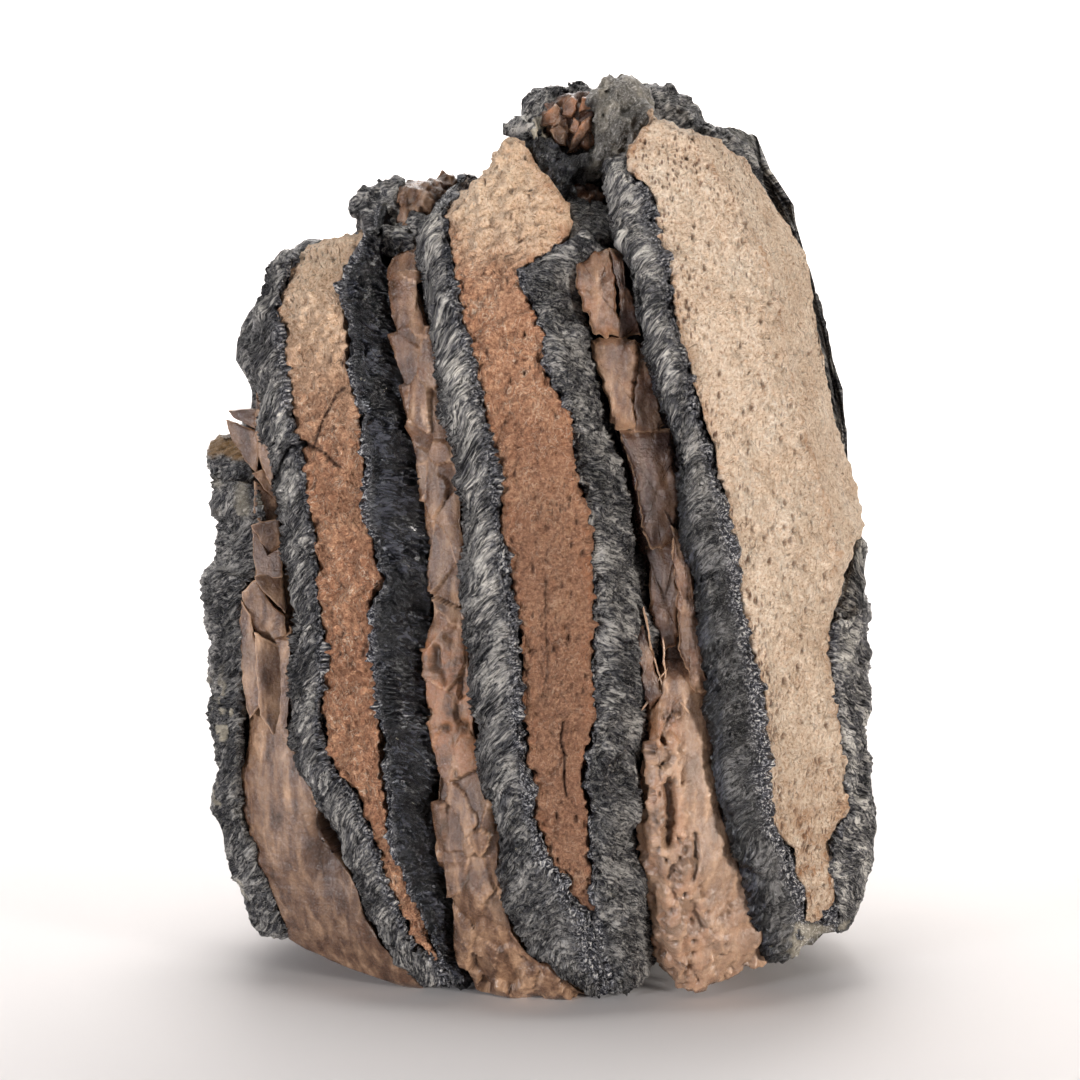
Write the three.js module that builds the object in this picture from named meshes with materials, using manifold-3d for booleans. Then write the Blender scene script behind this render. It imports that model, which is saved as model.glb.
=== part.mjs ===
// Fragment of a fossil mammoth molar: four upright plates, standing on the rounded end of the crown.
// Each plate is a flat pocket of enamel filled with dentine, and cement fills the space between plates.
// Millimetres, +Z up, X across the plates, Y from the front face of the fragment to its back.
// The origin is on the table, under the middle of the fragment's box.
import * as THREE from "three";
import { mergeVertices } from "three/addons/utils/BufferGeometryUtils.js";
import Module from "manifold-3d";

const wasm = await Module();
wasm.setup();

// ---- driving dimensions -------------------------------------------------------------------------
const DEPTH = 54;               // front face to back face, at the middle of the tooth
const REST_HALF_WIDTH = 12;     // the flat that the tooth stands on reaches this far left and right
const BOTTOM_SLOPE = 0.28;      // rise of the underside per millimetre outside that flat
const SEAM = 0.3;               // gap between two tissues
const CUP_CENTRE = [4.4, 18, 89.2];      // enamel cup at the end of the valley between plates 3 and 4
const CUP_SIZE = [7.6, 7.4, 6.6];        // its half width, half height and half depth, before it leans
const CUP_LEAN = 0.9;           // radians that the cup's mouth leans to the front
const CUP_MOUTH = 4.1;          // radius of its hollow
const CUP_HOLLOW = 3;           // depth of the hollow, down to the cement left in it
const PLUG_FOOT = 11;           // the cement reaches this far below the middle of the cup
const MIDDLE = [0.1, 27.55];    // middle of the box in X and Y, before the tooth is centred

// Heights at which the faces between two tissues are given, and depths at which they drift sideways
const LEVELS = [-4, 4, 8, 14, 22, 32, 42, 52, 62, 72, 82, 98];
const DEPTHS = [-4, 8, 14, 20, 30, 42, 58];

// Where each face crosses the front of the tooth, one X per level, and its drift, one per depth
const FACES = {
  plate1Left: {
    x: [-29.5, -31.2, -31.7, -33.4, -34.3, -35.5, -35.3, -34.9, -31.9, -32.4, -31.8, -31],
    drift: [0, 0, 0, 0.2, 0.8, 2.6, 5],
  },
  plate1Right: {
    x: [-26, -27.2, -27.9, -30.2, -32.1, -31.3, -30.9, -29.8, -30.7, -30.7, -30, -29.3],
    drift: [0, 0, 0, 0.3, 1.2, 3, 5],
  },
  plate2Left: {
    x: [-13, -15.5, -18.4, -20, -23.7, -26.2, -26.5, -27.2, -29.2, -28.9, -28.2, -27.5],
    drift: [0, 0, 0, 0.8, 2, 3.4, 5],
  },
  dentine2Left: {
    x: [-10, -12.6, -14.2, -16.6, -19, -22.4, -22.7, -23.4, -25.5, -26, -25.2, -24.5],
    drift: [0, 0, 0, 0.7, 1.8, 3.2, 4.6],
  },
  dentine2Right: {
    x: [-8.8, -11, -12.1, -14, -16.1, -17, -17.3, -17.5, -18.7, -19.6, -18.4, -17.5],
    drift: [0, 0, 0, 0.6, 1, 1.4, 2],
  },
  plate2Right: {
    x: [-5.5, -7.9, -8.9, -10, -10.9, -11.9, -11.5, -12.1, -13.7, -15.6, -15.2, -14.4],
    drift: [0, 0, 0.2, 0.8, 1.2, 1.6, 2.2],
  },
  plate3Left: {
    x: [4, 0.6, -2.1, -3.9, -5.5, -7, -7.7, -8.3, -9.6, -11.9, -12.6, -14],
    drift: [0, 0, 0.4, 1.4, 1.6, 1, 0.4],
  },
  dentine3Left: {
    x: [6.8, 4.9, 3.8, 2.6, -0.4, -1.8, -2.5, -3.9, -5.3, -7.8, -9.2, -11.4],
    drift: [0, 0, 0.4, 1.2, 1.4, 0.8, 0.2],
  },
  dentine3Right: {
    x: [8.4, 6.6, 5.8, 5.2, 4.4, 5, 4.8, 4.1, 2.4, -0.4, 1.8, -7.6],
    drift: [0, 0, 0, 0, -0.4, -1, -1.6],
  },
  plate3Right: {
    x: [12.4, 11.6, 10.9, 9.9, 9.3, 9.9, 10.7, 8.2, 5.9, 4.3, 4.8, -3.4],
    drift: [0, 0, 0, 0, -0.4, -1.2, -1.8],
  },
  plate4Left: {
    x: [21, 22.4, 22, 20.6, 18.1, 16.9, 15.7, 13.8, 12, 9.5, 7.8, 8.6],
    drift: [0, 0, 0, -0.6, -1.6, -2.8, -4],
  },
  dentine4Left: {
    x: [26, 27.8, 27.6, 26, 23.5, 22.4, 20.7, 19, 16.3, 13.6, 11.2, 11.2],
    drift: [0, 0, -0.4, -1.4, -2.6, -3.8, -5],
  },
  dentine4Right: {
    x: [30, 31, 30.9, 30.3, 31.4, 30.4, 29.9, 29.4, 26.8, 24.2, 21, 14],
    drift: [0, 0, 0.6, 1, 0.2, -2.4, -6],
    bulge: [0, 0, 2.2, 3.6, 3.4, 2, 0],
  },
  plate4Right: {
    x: [32.6, 33.4, 34.4, 35.3, 35.6, 35.2, 34.8, 34.4, 33.4, 31, 28, 22],
    drift: [0, 0, 0, 0, -0.8, -3.4, -7],
  },
};
const BULGE_FROM = 36;          // the bare right face of plate 4 swells outward above this height
const BULGE_FULL = 52;

// ---- small helpers ------------------------------------------------------------------------------
function along(stops, values, at) {
  let i = 1;
  while (i < stops.length - 1 && at > stops[i]) i += 1;
  const t = Math.min(1, Math.max(0, (at - stops[i - 1]) / (stops[i] - stops[i - 1])));
  return values[i - 1] + (values[i] - values[i - 1]) * t;
}

function profile(points) {
  const stops = points.map((p) => p[0]);
  const values = points.map((p) => p[1]);
  return (at) => along(stops, values, at);
}

function faceX(name, y, z) {
  const face = FACES[name];
  const swell = face.bulge ? along(DEPTHS, face.bulge, y) * along([BULGE_FROM, BULGE_FULL], [0, 1], z) : 0;
  return along(LEVELS, face.x, z) + along(DEPTHS, face.drift, y) + swell;
}

const over = (value, limit, span) => Math.max(0, (value - limit) / span);

// The front of the whole tooth bulges to the viewer, and curves back at both sides, top and bottom
function toothFront(x, z) {
  return 14 * over(-x, -5, 38) ** 2 + 14 * over(x, 5, 30) ** 2.2
    + 9 * over(-z, -26, 26) ** 2.2 + 9 * over(z, 62, 32) ** 1.8;
}

function toothBack(x, z) {
  return DEPTH - 11 * (x / 36) ** 2 - 9 * over(-z, -24, 24) ** 2 - 8 * over(z, 60, 32) ** 2
    + 0.8 * Math.sin(x / 3.1 + z / 17);
}

const toothBottom = (x) => Math.max(0, (Math.abs(x) - REST_HALF_WIDTH) * BOTTOM_SLOPE);

function solidFrom(positions, triangles) {
  const flat = new Float32Array(positions.flat());
  const corners = new Uint32Array(triangles.flat());
  return new wasm.Manifold(new wasm.Mesh({ numProp: 3, vertProperties: flat, triVerts: corners }));
}

function solidOf(geometry) {
  const bare = geometry.index ? geometry : geometry.clone();
  bare.deleteAttribute("normal");
  bare.deleteAttribute("uv");
  const merged = mergeVertices(bare, 1e-3);
  const corners = new Uint32Array(merged.index.array);
  const places = merged.attributes.position.array;
  return new wasm.Manifold(new wasm.Mesh({ numProp: 3, vertProperties: places, triVerts: corners }));
}

function geometryOf(solid) {
  const mesh = solid.getMesh();
  const geometry = new THREE.BufferGeometry();
  geometry.setAttribute("position", new THREE.Float32BufferAttribute(mesh.vertProperties, 3));
  geometry.setIndex(Array.from(mesh.triVerts));
  return geometry;
}

// The space between two faces, drawn on the same lattice for every tissue, so that neighbours keep SEAM
function between(leftName, rightName, inset = SEAM / 2) {
  const positions = [];
  const triangles = [];
  const columns = DEPTHS.length;
  const rows = LEVELS.length;
  for (const [name, shift] of [[leftName, inset], [rightName, -inset]]) {
    for (const z of LEVELS) {
      for (const y of DEPTHS) positions.push([faceX(name, y, z) + shift, y, z]);
    }
  }
  const right = columns * rows;
  const quad = (a, b, c, d) => triangles.push([a, b, c], [a, c, d]);
  for (let r = 0; r < rows - 1; r += 1) {
    for (let c = 0; c < columns - 1; c += 1) {
      const a = r * columns + c;
      quad(a, a + columns, a + columns + 1, a + 1);
      quad(right + a, right + a + 1, right + a + columns + 1, right + a + columns);
    }
    const first = r * columns;
    const last = first + columns - 1;
    quad(first, right + first, right + first + columns, first + columns);
    quad(last, last + columns, right + last + columns, right + last);
  }
  for (let c = 0; c < columns - 1; c += 1) {
    const top = (rows - 1) * columns + c;
    quad(c, c + 1, right + c + 1, right + c);
    quad(top, right + top, right + top + 1, top + 1);
  }
  return solidFrom(positions, triangles);
}

// The outline of the tooth at one place across a tissue, seen from the side: up the front, back along
// the top, down the back and forward along the underside
const FRONT_STEPS = 19;
const TOP_STEPS = 7;
const BACK_STEPS = 10;
const UNDER_STEPS = 5;

function outline(station) {
  const { at, recess, top, bottom, lumps = 0, seed = 0, grow = 0 } = station;
  const points = [];
  const add = (y, z) => points.push([at(y, z), y, z]);
  const bump = (i) => lumps * Math.sin(i * 2.3 + seed) * Math.cos(i * 0.9 + seed * 1.7);
  const low = bottom ?? toothBottom(at(20, 0));
  const frontY = (z) => toothFront(at(8, z), z) + recess(z) - grow;
  const backY = (z) => toothBack(at(45, z), z) - 0.4 * recess(z) + grow;
  const highFront = top(frontY(top(12))) + grow;
  const highBack = top(backY(top(44))) + grow;
  for (let i = 0; i < FRONT_STEPS; i += 1) {
    const z = low + (highFront - low) * (i / FRONT_STEPS);
    add(frontY(z) + (i ? bump(i) : 0), z);
  }
  const y0 = frontY(highFront);
  const y1 = backY(highBack);
  for (let i = 0; i <= TOP_STEPS; i += 1) {
    const y = y0 + (y1 - y0) * (i / TOP_STEPS);
    add(y, top(y) + grow + bump(i + 31) * 0.7);
  }
  for (let i = 1; i < BACK_STEPS; i += 1) {
    const z = highBack + (low - highBack) * (i / BACK_STEPS);
    add(backY(z) + bump(i + 57), z);
  }
  const y2 = backY(low);
  const y3 = frontY(low);
  for (let i = 0; i < UNDER_STEPS; i += 1) add(y2 + (y3 - y2) * (i / UNDER_STEPS), low);
  return points;
}

// A solid whose outer surface passes through the outlines of its stations, from left to right.
// It runs on past its first and last station, where the faces between tissues cut it off.
const PAST = 60;

function envelope(stations) {
  const rings = stations.map(outline);
  rings.unshift(rings[0].map(([, y, z]) => [-PAST, y, z]));
  rings.push(rings[rings.length - 1].map(([, y, z]) => [PAST, y, z]));
  const around = rings[0].length;
  const positions = rings.flat();
  const triangles = [];
  for (let r = 0; r < rings.length - 1; r += 1) {
    for (let i = 0; i < around; i += 1) {
      const j = (i + 1) % around;
      const a = r * around + i;
      const b = r * around + j;
      triangles.push([a, a + around, b + around], [a, b + around, b]);
    }
  }
  for (const [ring, sign] of [[0, 1], [rings.length - 1, -1]]) {
    const hub = positions.length;
    positions.push([rings[ring][0][0], 26, 40]);
    for (let i = 0; i < around; i += 1) {
      const a = ring * around + i;
      const b = ring * around + ((i + 1) % around);
      triangles.push(sign > 0 ? [hub, a, b] : [hub, b, a]);
    }
  }
  return solidFrom(positions, triangles);
}

const face = (name) => (y, z) => faceX(name, y, z);
const midway = (a, b) => (y, z) => (faceX(a, y, z) + faceX(b, y, z)) / 2;

// A filling between two faces: dentine or cement. Its edges lie deeper than its middle by dish, and
// its top climbs by rise from one edge to the middle and again to the other edge
function filling(left, right, shape) {
  const { recess, top, bottom, lumps, seed, dish = 0, edges = [0, 0], rise = 0, grow = 0, inset } = shape;
  const stations = [
    { at: face(left), recess: (z) => recess(z) + dish + edges[0] },
    { at: midway(left, right), recess },
    { at: face(right), recess: (z) => recess(z) + dish + edges[1] },
  ];
  stations.forEach((s, i) => {
    Object.assign(s, { top: (y) => top(y) + rise * (i - 1), bottom, lumps, seed: seed + i, grow });
  });
  return envelope(stations).intersect(between(left, right, inset));
}

// An enamel pocket: two sheets that stand proud of what lies beside them and close under the dentine
function pocket(faces, { leftSheet, rightSheet, seed }) {
  const [outerLeft, innerLeft, innerRight, outerRight] = faces;
  const round = 1.3;
  const fall = 0.8;             // the right sheet falls away further, into the groove beside it
  const stations = [
    { at: face(outerLeft), recess: (z) => leftSheet.recess(z) + round, top: leftSheet.top, lumps: 0.5 },
    { at: midway(outerLeft, innerLeft), recess: leftSheet.recess, top: leftSheet.top, lumps: 0.6 },
    { at: midway(innerRight, outerRight), recess: rightSheet.recess, top: rightSheet.top, lumps: 0.6 },
    {
      at: face(outerRight), recess: (z) => rightSheet.recess(z) + round + fall,
      top: rightSheet.top, lumps: 0.5,
    },
  ];
  stations.forEach((s, i) => { s.seed = seed + i; });
  return envelope(stations).intersect(between(outerLeft, outerRight));
}

const CLEAR = 4;                // the pocket is cut open this far past the dentine at front, top and back
const LID_GAP = 1;              // space left under enamel that closes over the dentine

// Cuts the dentine's channel into a pocket. From the depth lidFrom on, enamel closes over the dentine
function openFor(pocketSolid, left, right, core, lidFrom = DEPTH * 2) {
  const lid = (y) => along([lidFrom - 3, lidFrom], [0, CLEAR - LID_GAP], y);
  const cutter = filling(left, right, {
    ...core, top: (y) => core.top(y) - lid(y), bottom: core.bottom - SEAM,
    lumps: 0, dish: 0, grow: CLEAR, inset: -SEAM / 2,
  });
  return pocketSolid.subtract(cutter);
}

// ---- the tissues, from left to right -------------------------------------------------------------
const solids = {};

// Plate 1: one enamel sheet, broken off half way up at the front and higher behind
solids.plate_1_enamel = filling("plate1Left", "plate1Right", {
  recess: profile([[5, 1], [20, 0], [42, 0.4], [44, 1.6], [58, 1.2]]),
  top: profile([[14, 58], [16, 58.5], [18.5, 66], [21, 71], [30, 70], [48, 62]]),
  dish: 0.7, lumps: 0.5, seed: 1,
});

// Cement 1: splinters above, a smooth body below with a hollow scooped out of it
solids.cement_1 = filling("plate1Right", "plate2Left", {
  recess: profile([
    [4, 1], [12, 2.4], [20, 4.2], [27, 2.4], [40, 3.2], [44, 5.4], [48, 3.8], [52, 6.2], [56, 4.4], [60, 6],
  ]),
  top: profile([[14, 60], [18, 62], [20, 67], [30, 70], [46, 66]]),
  dish: 0.6, edges: [1.2, 0], lumps: 0.7, seed: 2,
});

// Plate 2
const core2 = {
  recess: profile([[4, 1.6], [20, 1], [60, 0.8], [76, 1.4]]),
  top: profile([[5, 78.5], [10, 79.5], [20, 80], [34, 78], [48, 72]]),
  bottom: 5, dish: 0.3, rise: 1.5, lumps: 0.25, seed: 3,
};
const pocket2 = pocket(["plate2Left", "dentine2Left", "dentine2Right", "plate2Right"], {
  leftSheet: {
    recess: profile([[0, 0.6], [30, 0], [48, 0.3], [52, 0], [76, 0.4]]),
    top: profile([[5, 76.5], [12, 77.5], [24, 79], [46, 71]]),
  },
  rightSheet: {
    recess: profile([[0, 0.8], [41, 0.2], [42, -0.6], [44, 0.2], [76, 0.4]]),
    top: profile([[5, 80], [10, 80.5], [12, 85], [20, 86], [30, 80], [46, 74]]),
  },
  seed: 4,
});
solids.plate_2_enamel = openFor(pocket2, "dentine2Left", "dentine2Right", core2);
solids.plate_2_dentine = filling("dentine2Left", "dentine2Right", core2);

// Cement 2: a narrow strip that widens under the two plates
solids.cement_2 = filling("plate2Right", "plate3Left", {
  recess: profile([[0, 0.8], [12, 1.4], [24, 3], [34, 4.6], [36, 3.4], [58, 4.6], [74, 3.2]]),
  top: profile([[6, 77], [10, 79], [12, 86], [18, 86.5], [22, 82], [46, 74]]),
  dish: 0.6, edges: [1.6, 0], lumps: 0.7, seed: 5,
});

// Plate 3, with the cup that its right sheet makes round the end of the valley
const core3 = {
  recess: profile([[8, 2], [22, 1], [60, 0.8], [84, 0.6]]),
  top: profile([[5, 86], [9, 87], [16, 87], [30, 84], [48, 76]]),
  bottom: 10, dish: 0.3, rise: 2.4, lumps: 0.25, seed: 6,
};
const cupFrame = new THREE.Object3D();
cupFrame.position.set(...CUP_CENTRE);
cupFrame.rotation.x = CUP_LEAN;
cupFrame.updateMatrix();

// A rough ball, before its mouth is opened; spare widens it to cut room for it in a neighbour
function cupBall(spare) {
  const shape = new THREE.SphereGeometry(1, 16, 10);
  const point = shape.attributes.position;
  const at = new THREE.Vector3();
  for (let i = 0; i < point.count; i += 1) {
    at.fromBufferAttribute(point, i);
    const angle = Math.atan2(at.y, at.x);
    const swell = 1 + Math.hypot(at.x, at.y) * (0.05 * Math.sin(3 * angle + 1) + 0.04 * Math.cos(7 * angle));
    point.setXYZ(i, ...CUP_SIZE.map((half, k) => at.getComponent(k) * (half * swell + spare)));
  }
  shape.applyMatrix4(cupFrame.matrix);
  return solidOf(shape);
}

// A round bar along the cup's hollow, between two heights on the cup's own axis
function cupBar(radius, top, foot) {
  const shape = new THREE.CylinderGeometry(radius, radius, top - foot, 10);
  shape.rotateX(Math.PI / 2);
  shape.translate(0, 0, (top + foot) / 2);
  shape.applyMatrix4(cupFrame.matrix);
  return solidOf(shape);
}

const rightSheet3 = {
  recess: profile([[0, 0.6], [20, 0.4], [60, 2.6], [61.5, 0.2], [80, 0.2]]),
  top: profile([[4, 79], [8, 80], [11, 84], [16, 87], [24, 91], [34, 86], [46, 76]]),
};
const leftSheet3 = {
  recess: profile([[0, 0.4], [30, 0], [82, 0.4]]),
  top: profile([[5, 84], [8, 86], [12, 87.5], [30, 84], [46, 76]]),
};
const pocket3 = pocket(["plate3Left", "dentine3Left", "dentine3Right", "plate3Right"], {
  leftSheet: leftSheet3, rightSheet: rightSheet3, seed: 7,
});

// Cement 3: a porous mass below, splinters and three broken blocks above, and a dark gap beside them
const cement3 = filling("plate3Right", "plate4Left", {
  recess: profile([
    [2, 1.2], [20, 2.4], [35, 3], [37, 8], [46, 7], [47, 4.6], [57, 4.2], [58, 6.6], [59, 4],
    [67, 3.4], [68, 6], [69, 2.8], [77, 3.2], [78, 7],
  ]),
  top: profile([[8, 78], [12, 81], [15, 84], [24, 88], [32, 84], [44, 76]]),
  dish: 0.6, edges: [4.5, 0.6], lumps: 0.6, seed: 8,
});

// Plate 4: its right sheet is left low down at the front, and behind, where it also closes over the top
const LID_FROM = 30;
const core4 = {
  recess: profile([[6, 1.4], [22, 0.8], [92, 0.4]]),
  top: profile([[6, 93], [12, 93.5], [20, 91], [32, 88], [48, 78]]),
  bottom: 8, dish: 0.2, lumps: 0.2, seed: 9,
};
const pocket4 = pocket(["plate4Left", "dentine4Left", "dentine4Right", "plate4Right"], {
  leftSheet: {
    recess: profile([[3, 1], [14, 0.6], [15, -0.6], [20, 0], [86, 0.2]]),
    top: profile([
      [7, 87.5], [12, 88], [16, 90], [24, 92], [29, 92], [LID_FROM + 2, 95.4], [37, 94], [46, 80],
    ]),
  },
  rightSheet: {
    recess: profile([[3, 0.8], [20, 0], [46, 0.6]]),
    top: profile([
      [10, 40], [15, 41.5], [17, 46.5], [26, 49], [29, 70], [LID_FROM + 2, 92], [37, 91], [46, 76],
    ]),
  },
  seed: 10,
});

const cup = cupBall(0);
const cupRoom = cupBall(SEAM * 1.3);
const mouth = cupBar(CUP_MOUTH, CUP_SIZE[2] + 2, -PLUG_FOOT - SEAM);
const plug = cupBar(CUP_MOUTH - SEAM, CUP_SIZE[2] - CUP_HOLLOW, -PLUG_FOOT);
solids.plate_3_enamel = openFor(pocket3, "dentine3Left", "dentine3Right", core3).add(cup).subtract(mouth);
solids.plate_3_dentine = filling("dentine3Left", "dentine3Right", core3).subtract(cupRoom).subtract(mouth);
solids.cement_3 = cement3.subtract(cupRoom).add(plug);
const opened4 = openFor(pocket4, "dentine4Left", "dentine4Right", core4, LID_FROM);
solids.plate_4_enamel = opened4.subtract(cupRoom).subtract(mouth);
solids.plate_4_dentine = filling("dentine4Left", "dentine4Right", core4).subtract(cupRoom).subtract(mouth);

// ---- materials and scene graph -------------------------------------------------------------------
const enamel = () => new THREE.MeshStandardMaterial({ color: "#3a3b3e", roughness: 0.4, metalness: 0 });
const dentine = () => new THREE.MeshStandardMaterial({ color: "#9f775b", roughness: 0.75, metalness: 0 });
const paleDentine = () => new THREE.MeshStandardMaterial({ color: "#cdb49c", roughness: 0.7, metalness: 0 });
const cement = () => new THREE.MeshStandardMaterial({ color: "#86695a", roughness: 0.5, metalness: 0 });
const FINISH = {
  plate_1_enamel: enamel, plate_2_enamel: enamel, plate_3_enamel: enamel, plate_4_enamel: enamel,
  plate_2_dentine: dentine, plate_3_dentine: dentine, plate_4_dentine: paleDentine,
  cement_1: cement, cement_2: cement, cement_3: cement,
};

const molar = new THREE.Group();
for (const [name, solid] of Object.entries(solids)) {
  const mesh = new THREE.Mesh(geometryOf(solid), FINISH[name]());
  mesh.name = name;
  mesh.position.set(-MIDDLE[0], -MIDDLE[1], 0);
  molar.add(mesh);
}

export default molar;
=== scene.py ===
# Fossil mammoth molar: a fragment of four enamel plates filled with dentine and bound by cement,
# standing on the rounded end of its crown. All shapes are worked out in millimetres in the frame of
# the tooth's drawing; when a mesh is made, they move to the part's frame and become metres.
import functools
import itertools
import math
from types import SimpleNamespace
import bpy
import numpy as np
import openvdb
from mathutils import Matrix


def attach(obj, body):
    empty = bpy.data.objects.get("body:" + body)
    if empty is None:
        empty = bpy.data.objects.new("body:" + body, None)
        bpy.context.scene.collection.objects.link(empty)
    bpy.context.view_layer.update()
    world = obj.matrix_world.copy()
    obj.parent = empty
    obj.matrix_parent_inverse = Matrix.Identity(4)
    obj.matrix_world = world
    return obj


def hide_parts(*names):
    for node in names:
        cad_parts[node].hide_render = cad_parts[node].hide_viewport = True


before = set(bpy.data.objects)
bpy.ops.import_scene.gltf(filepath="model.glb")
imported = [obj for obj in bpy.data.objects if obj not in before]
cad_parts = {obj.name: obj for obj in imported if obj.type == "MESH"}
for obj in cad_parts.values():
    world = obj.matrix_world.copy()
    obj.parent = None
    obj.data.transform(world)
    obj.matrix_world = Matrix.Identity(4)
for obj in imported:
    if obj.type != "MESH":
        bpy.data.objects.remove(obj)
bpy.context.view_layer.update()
MM = 0.001

# ---- table, light and camera ---------------------------------------------------------------------
# The tooth stands on a seamless sheet of pale paper that curves up behind it, under a large soft
# light from the upper right and weaker ones from the left and above.
MIDDLE = np.array([0.1, 27.55, 0.0])    # where the part's frame stands in the drawing's frame
EYE_DISTANCE = 300.0
EYE_RISE = math.radians(7.0)
EYE_TARGET = np.array([0.0, 0.0, 50.0])
SENSOR = 36.0
FRAME_WIDTH = 108.0    # millimetres across the picture at the tooth


def srgb(code):
    """A hex sRGB colour as linear RGBA."""
    parts = [int(code[i:i + 2], 16) / 255 for i in (1, 3, 5)]
    return tuple(c / 12.92 if c <= 0.04045 else ((c + 0.055) / 1.055) ** 2.4 for c in parts) + (1.0,)


def fill(made, values):
    """Fills a node's inputs: a node or a socket is joined to the input, and a value is set on it."""
    for key, value in values.items():
        socket = made.inputs[key.replace("_", " ") if isinstance(key, str) else key]
        if isinstance(value, bpy.types.Node):
            value = value.outputs[0]
        if isinstance(value, bpy.types.NodeSocket):
            made.id_data.links.new(value, socket)
        else:
            socket.default_value = value


def node(tree, kind, *places, **values):
    """Adds a node: names in small letters are its settings, and the rest its inputs, by place or name."""
    made = tree.nodes.new("ShaderNode" + kind)
    for name in [name for name in values if name.islower()]:
        setattr(made, name, values.pop(name))
    fill(made, dict(enumerate(places)) | values)
    return made


def material(name):
    """A new material, a function that adds nodes to it, and its principled shader."""
    made = bpy.data.materials.new(name)
    made.use_nodes = True
    return made, functools.partial(node, made.node_tree), made.node_tree.nodes["Principled BSDF"]


camera = bpy.data.cameras.new("camera")
camera.lens = SENSOR * EYE_DISTANCE / FRAME_WIDTH
camera.sensor_width = SENSOR
camera.clip_start = 0.01
eye = bpy.data.objects.new("camera", camera)
eye_offset = np.array([0, -math.cos(EYE_RISE), math.sin(EYE_RISE)]) * EYE_DISTANCE
eye.location = (EYE_TARGET + eye_offset - MIDDLE) * MM
eye.rotation_euler = (math.pi / 2 - EYE_RISE, 0, 0)
bpy.context.scene.collection.objects.link(eye)
bpy.context.scene.camera = eye
bpy.context.scene.view_settings.view_transform = "Standard"

PAPER_HALF = 900.0
PAPER_BEND = 260.0
PAPER_FLAT = 330.0
PAPER_FRONT = -700.0
PAPER_RISE = 900.0
arc = np.linspace(0, math.pi / 2, 24)
paper_y = np.concatenate([[PAPER_FRONT], PAPER_FLAT + PAPER_BEND * np.sin(arc), [PAPER_FLAT + PAPER_BEND]])
paper_z = np.concatenate([[0.0], PAPER_BEND * (1 - np.cos(arc)), [PAPER_BEND + PAPER_RISE]])
paper_points = [(x * MM, y * MM, z * MM) for y, z in zip(paper_y, paper_z)
                for x in (-PAPER_HALF, PAPER_HALF)]
paper_faces = [(2 * i, 2 * i + 1, 2 * i + 3, 2 * i + 2) for i in range(len(paper_y) - 1)]
paper_mesh = bpy.data.meshes.new("paper")
paper_mesh.from_pydata(paper_points, [], paper_faces)
paper_mesh.polygons.foreach_set("use_smooth", [True] * len(paper_faces))
paper = bpy.data.objects.new("paper", paper_mesh)
bpy.context.scene.collection.objects.link(paper)
card, _, shader = material("matt_card")
fill(shader, {"Base Color": srgb("#e6e3e2"), "Roughness": 0.9, "Specular IOR Level": 0.15})
paper_mesh.materials.append(card)

world = bpy.data.worlds.new("studio")
bpy.context.scene.world = world
world.use_nodes = True
fill(world.node_tree.nodes["Background"], {"Color": srgb("#f6f4f6"), "Strength": 0.12})

# name, place in millimetres, size, power in watts, colour, and the point that it faces
SOFT_LIGHTS = [
    ("window", (50, 345, 430), 420, 1.3, "#fffbf8", (0, 0, 40)),
    ("above", (-30, -10, 540), 240, 1.35, "#fffefc", (0, 0, 50)),
    ("right", (430, -380, 54), 100, 3.9, "#fffaf5", (0, 0, 50)),
    ("left", (-400, -380, 54), 100, 2.7, "#fafaff", (0, 0, 50)),
    ("backdrop", (0, 300, 520), 500, 5.0, "#fffdfb", (0, 620, 330)),
]
for name, place, size, power, colour, target in SOFT_LIGHTS:
    lamp = bpy.data.lights.new(name, "AREA")
    lamp.size = size * MM
    lamp.energy = power
    lamp.color = srgb(colour)[:3]
    holder = bpy.data.objects.new(name, lamp)
    aim = np.array(target) - np.array(place)
    holder.location = np.array(place) * MM
    flat = math.hypot(aim[0], aim[1])
    holder.rotation_euler = (math.atan2(flat, -aim[2]), 0, math.atan2(aim[1], aim[0]) - math.pi / 2)
    bpy.context.scene.collection.objects.link(holder)

# ---- plate 1: the lone enamel sheet on the left ----------------------------------------------------
# The left-most plate has lost its dentine and its other sheet. What is left is one sheet of enamel,
# 3 to 4 mm thick, broken off in steps, with its fibrous broken edge to the front.
DEPTH = 54.0            # from front to back
REST_HALF = 12.0        # half the width of the flat that the tooth stands on
UNDER_SLOPE = 0.28      # how fast the underside climbs on both sides of that flat
SPINE_Y = 27.0          # the depth and the heights of the line inside the tooth that
SPINE_Z = (32.0, 58.0)  # everything under its outline is drawn in towards
READ_Y = {"front": 8.0, "under": 20.0, "back": 45.0}     # depths at which a band's place is read
READ_Z = 80.0           # and the height at which it is read for the top
STEPS = {"front": 410, "top": 80, "back": 56, "under": 20}
SIDE = np.concatenate([np.full(count, k) for k, count in enumerate(STEPS.values())])
CHANCE = np.random.default_rng(11).random(4096)


def over(value, limit, span):
    return np.maximum(0, (value - limit) / span)


def tooth_front(x, z):
    """Depth of the front of the whole tooth: it bulges to the viewer and turns away at all sides."""
    return (14 * over(-x, -5, 38) ** 2 + 14 * over(x, 5, 30) ** 2.2
            + 9 * over(-z, -26, 26) ** 2.2 + 0.8 * over(-z, -1.2, 1.2) ** 2 + 9 * over(z, 62, 32) ** 1.8)


def tooth_back(x, z):
    return (DEPTH - 11 * (x / 36) ** 2 - 9 * over(-z, -24, 24) ** 2 - 8 * over(z, 60, 32) ** 2
            + 0.8 * np.sin(x / 3.1 + z / 17))


def chance(i, j, k, seed):
    """A number from 0 to 1 for each cell of a lattice, always the same one."""
    key = (i * 73856093) ^ (j * 19349663) ^ (k * 83492791) ^ (seed * 2654435761)
    return CHANCE[(key ^ (key >> 11)) & (len(CHANCE) - 1)]


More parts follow.
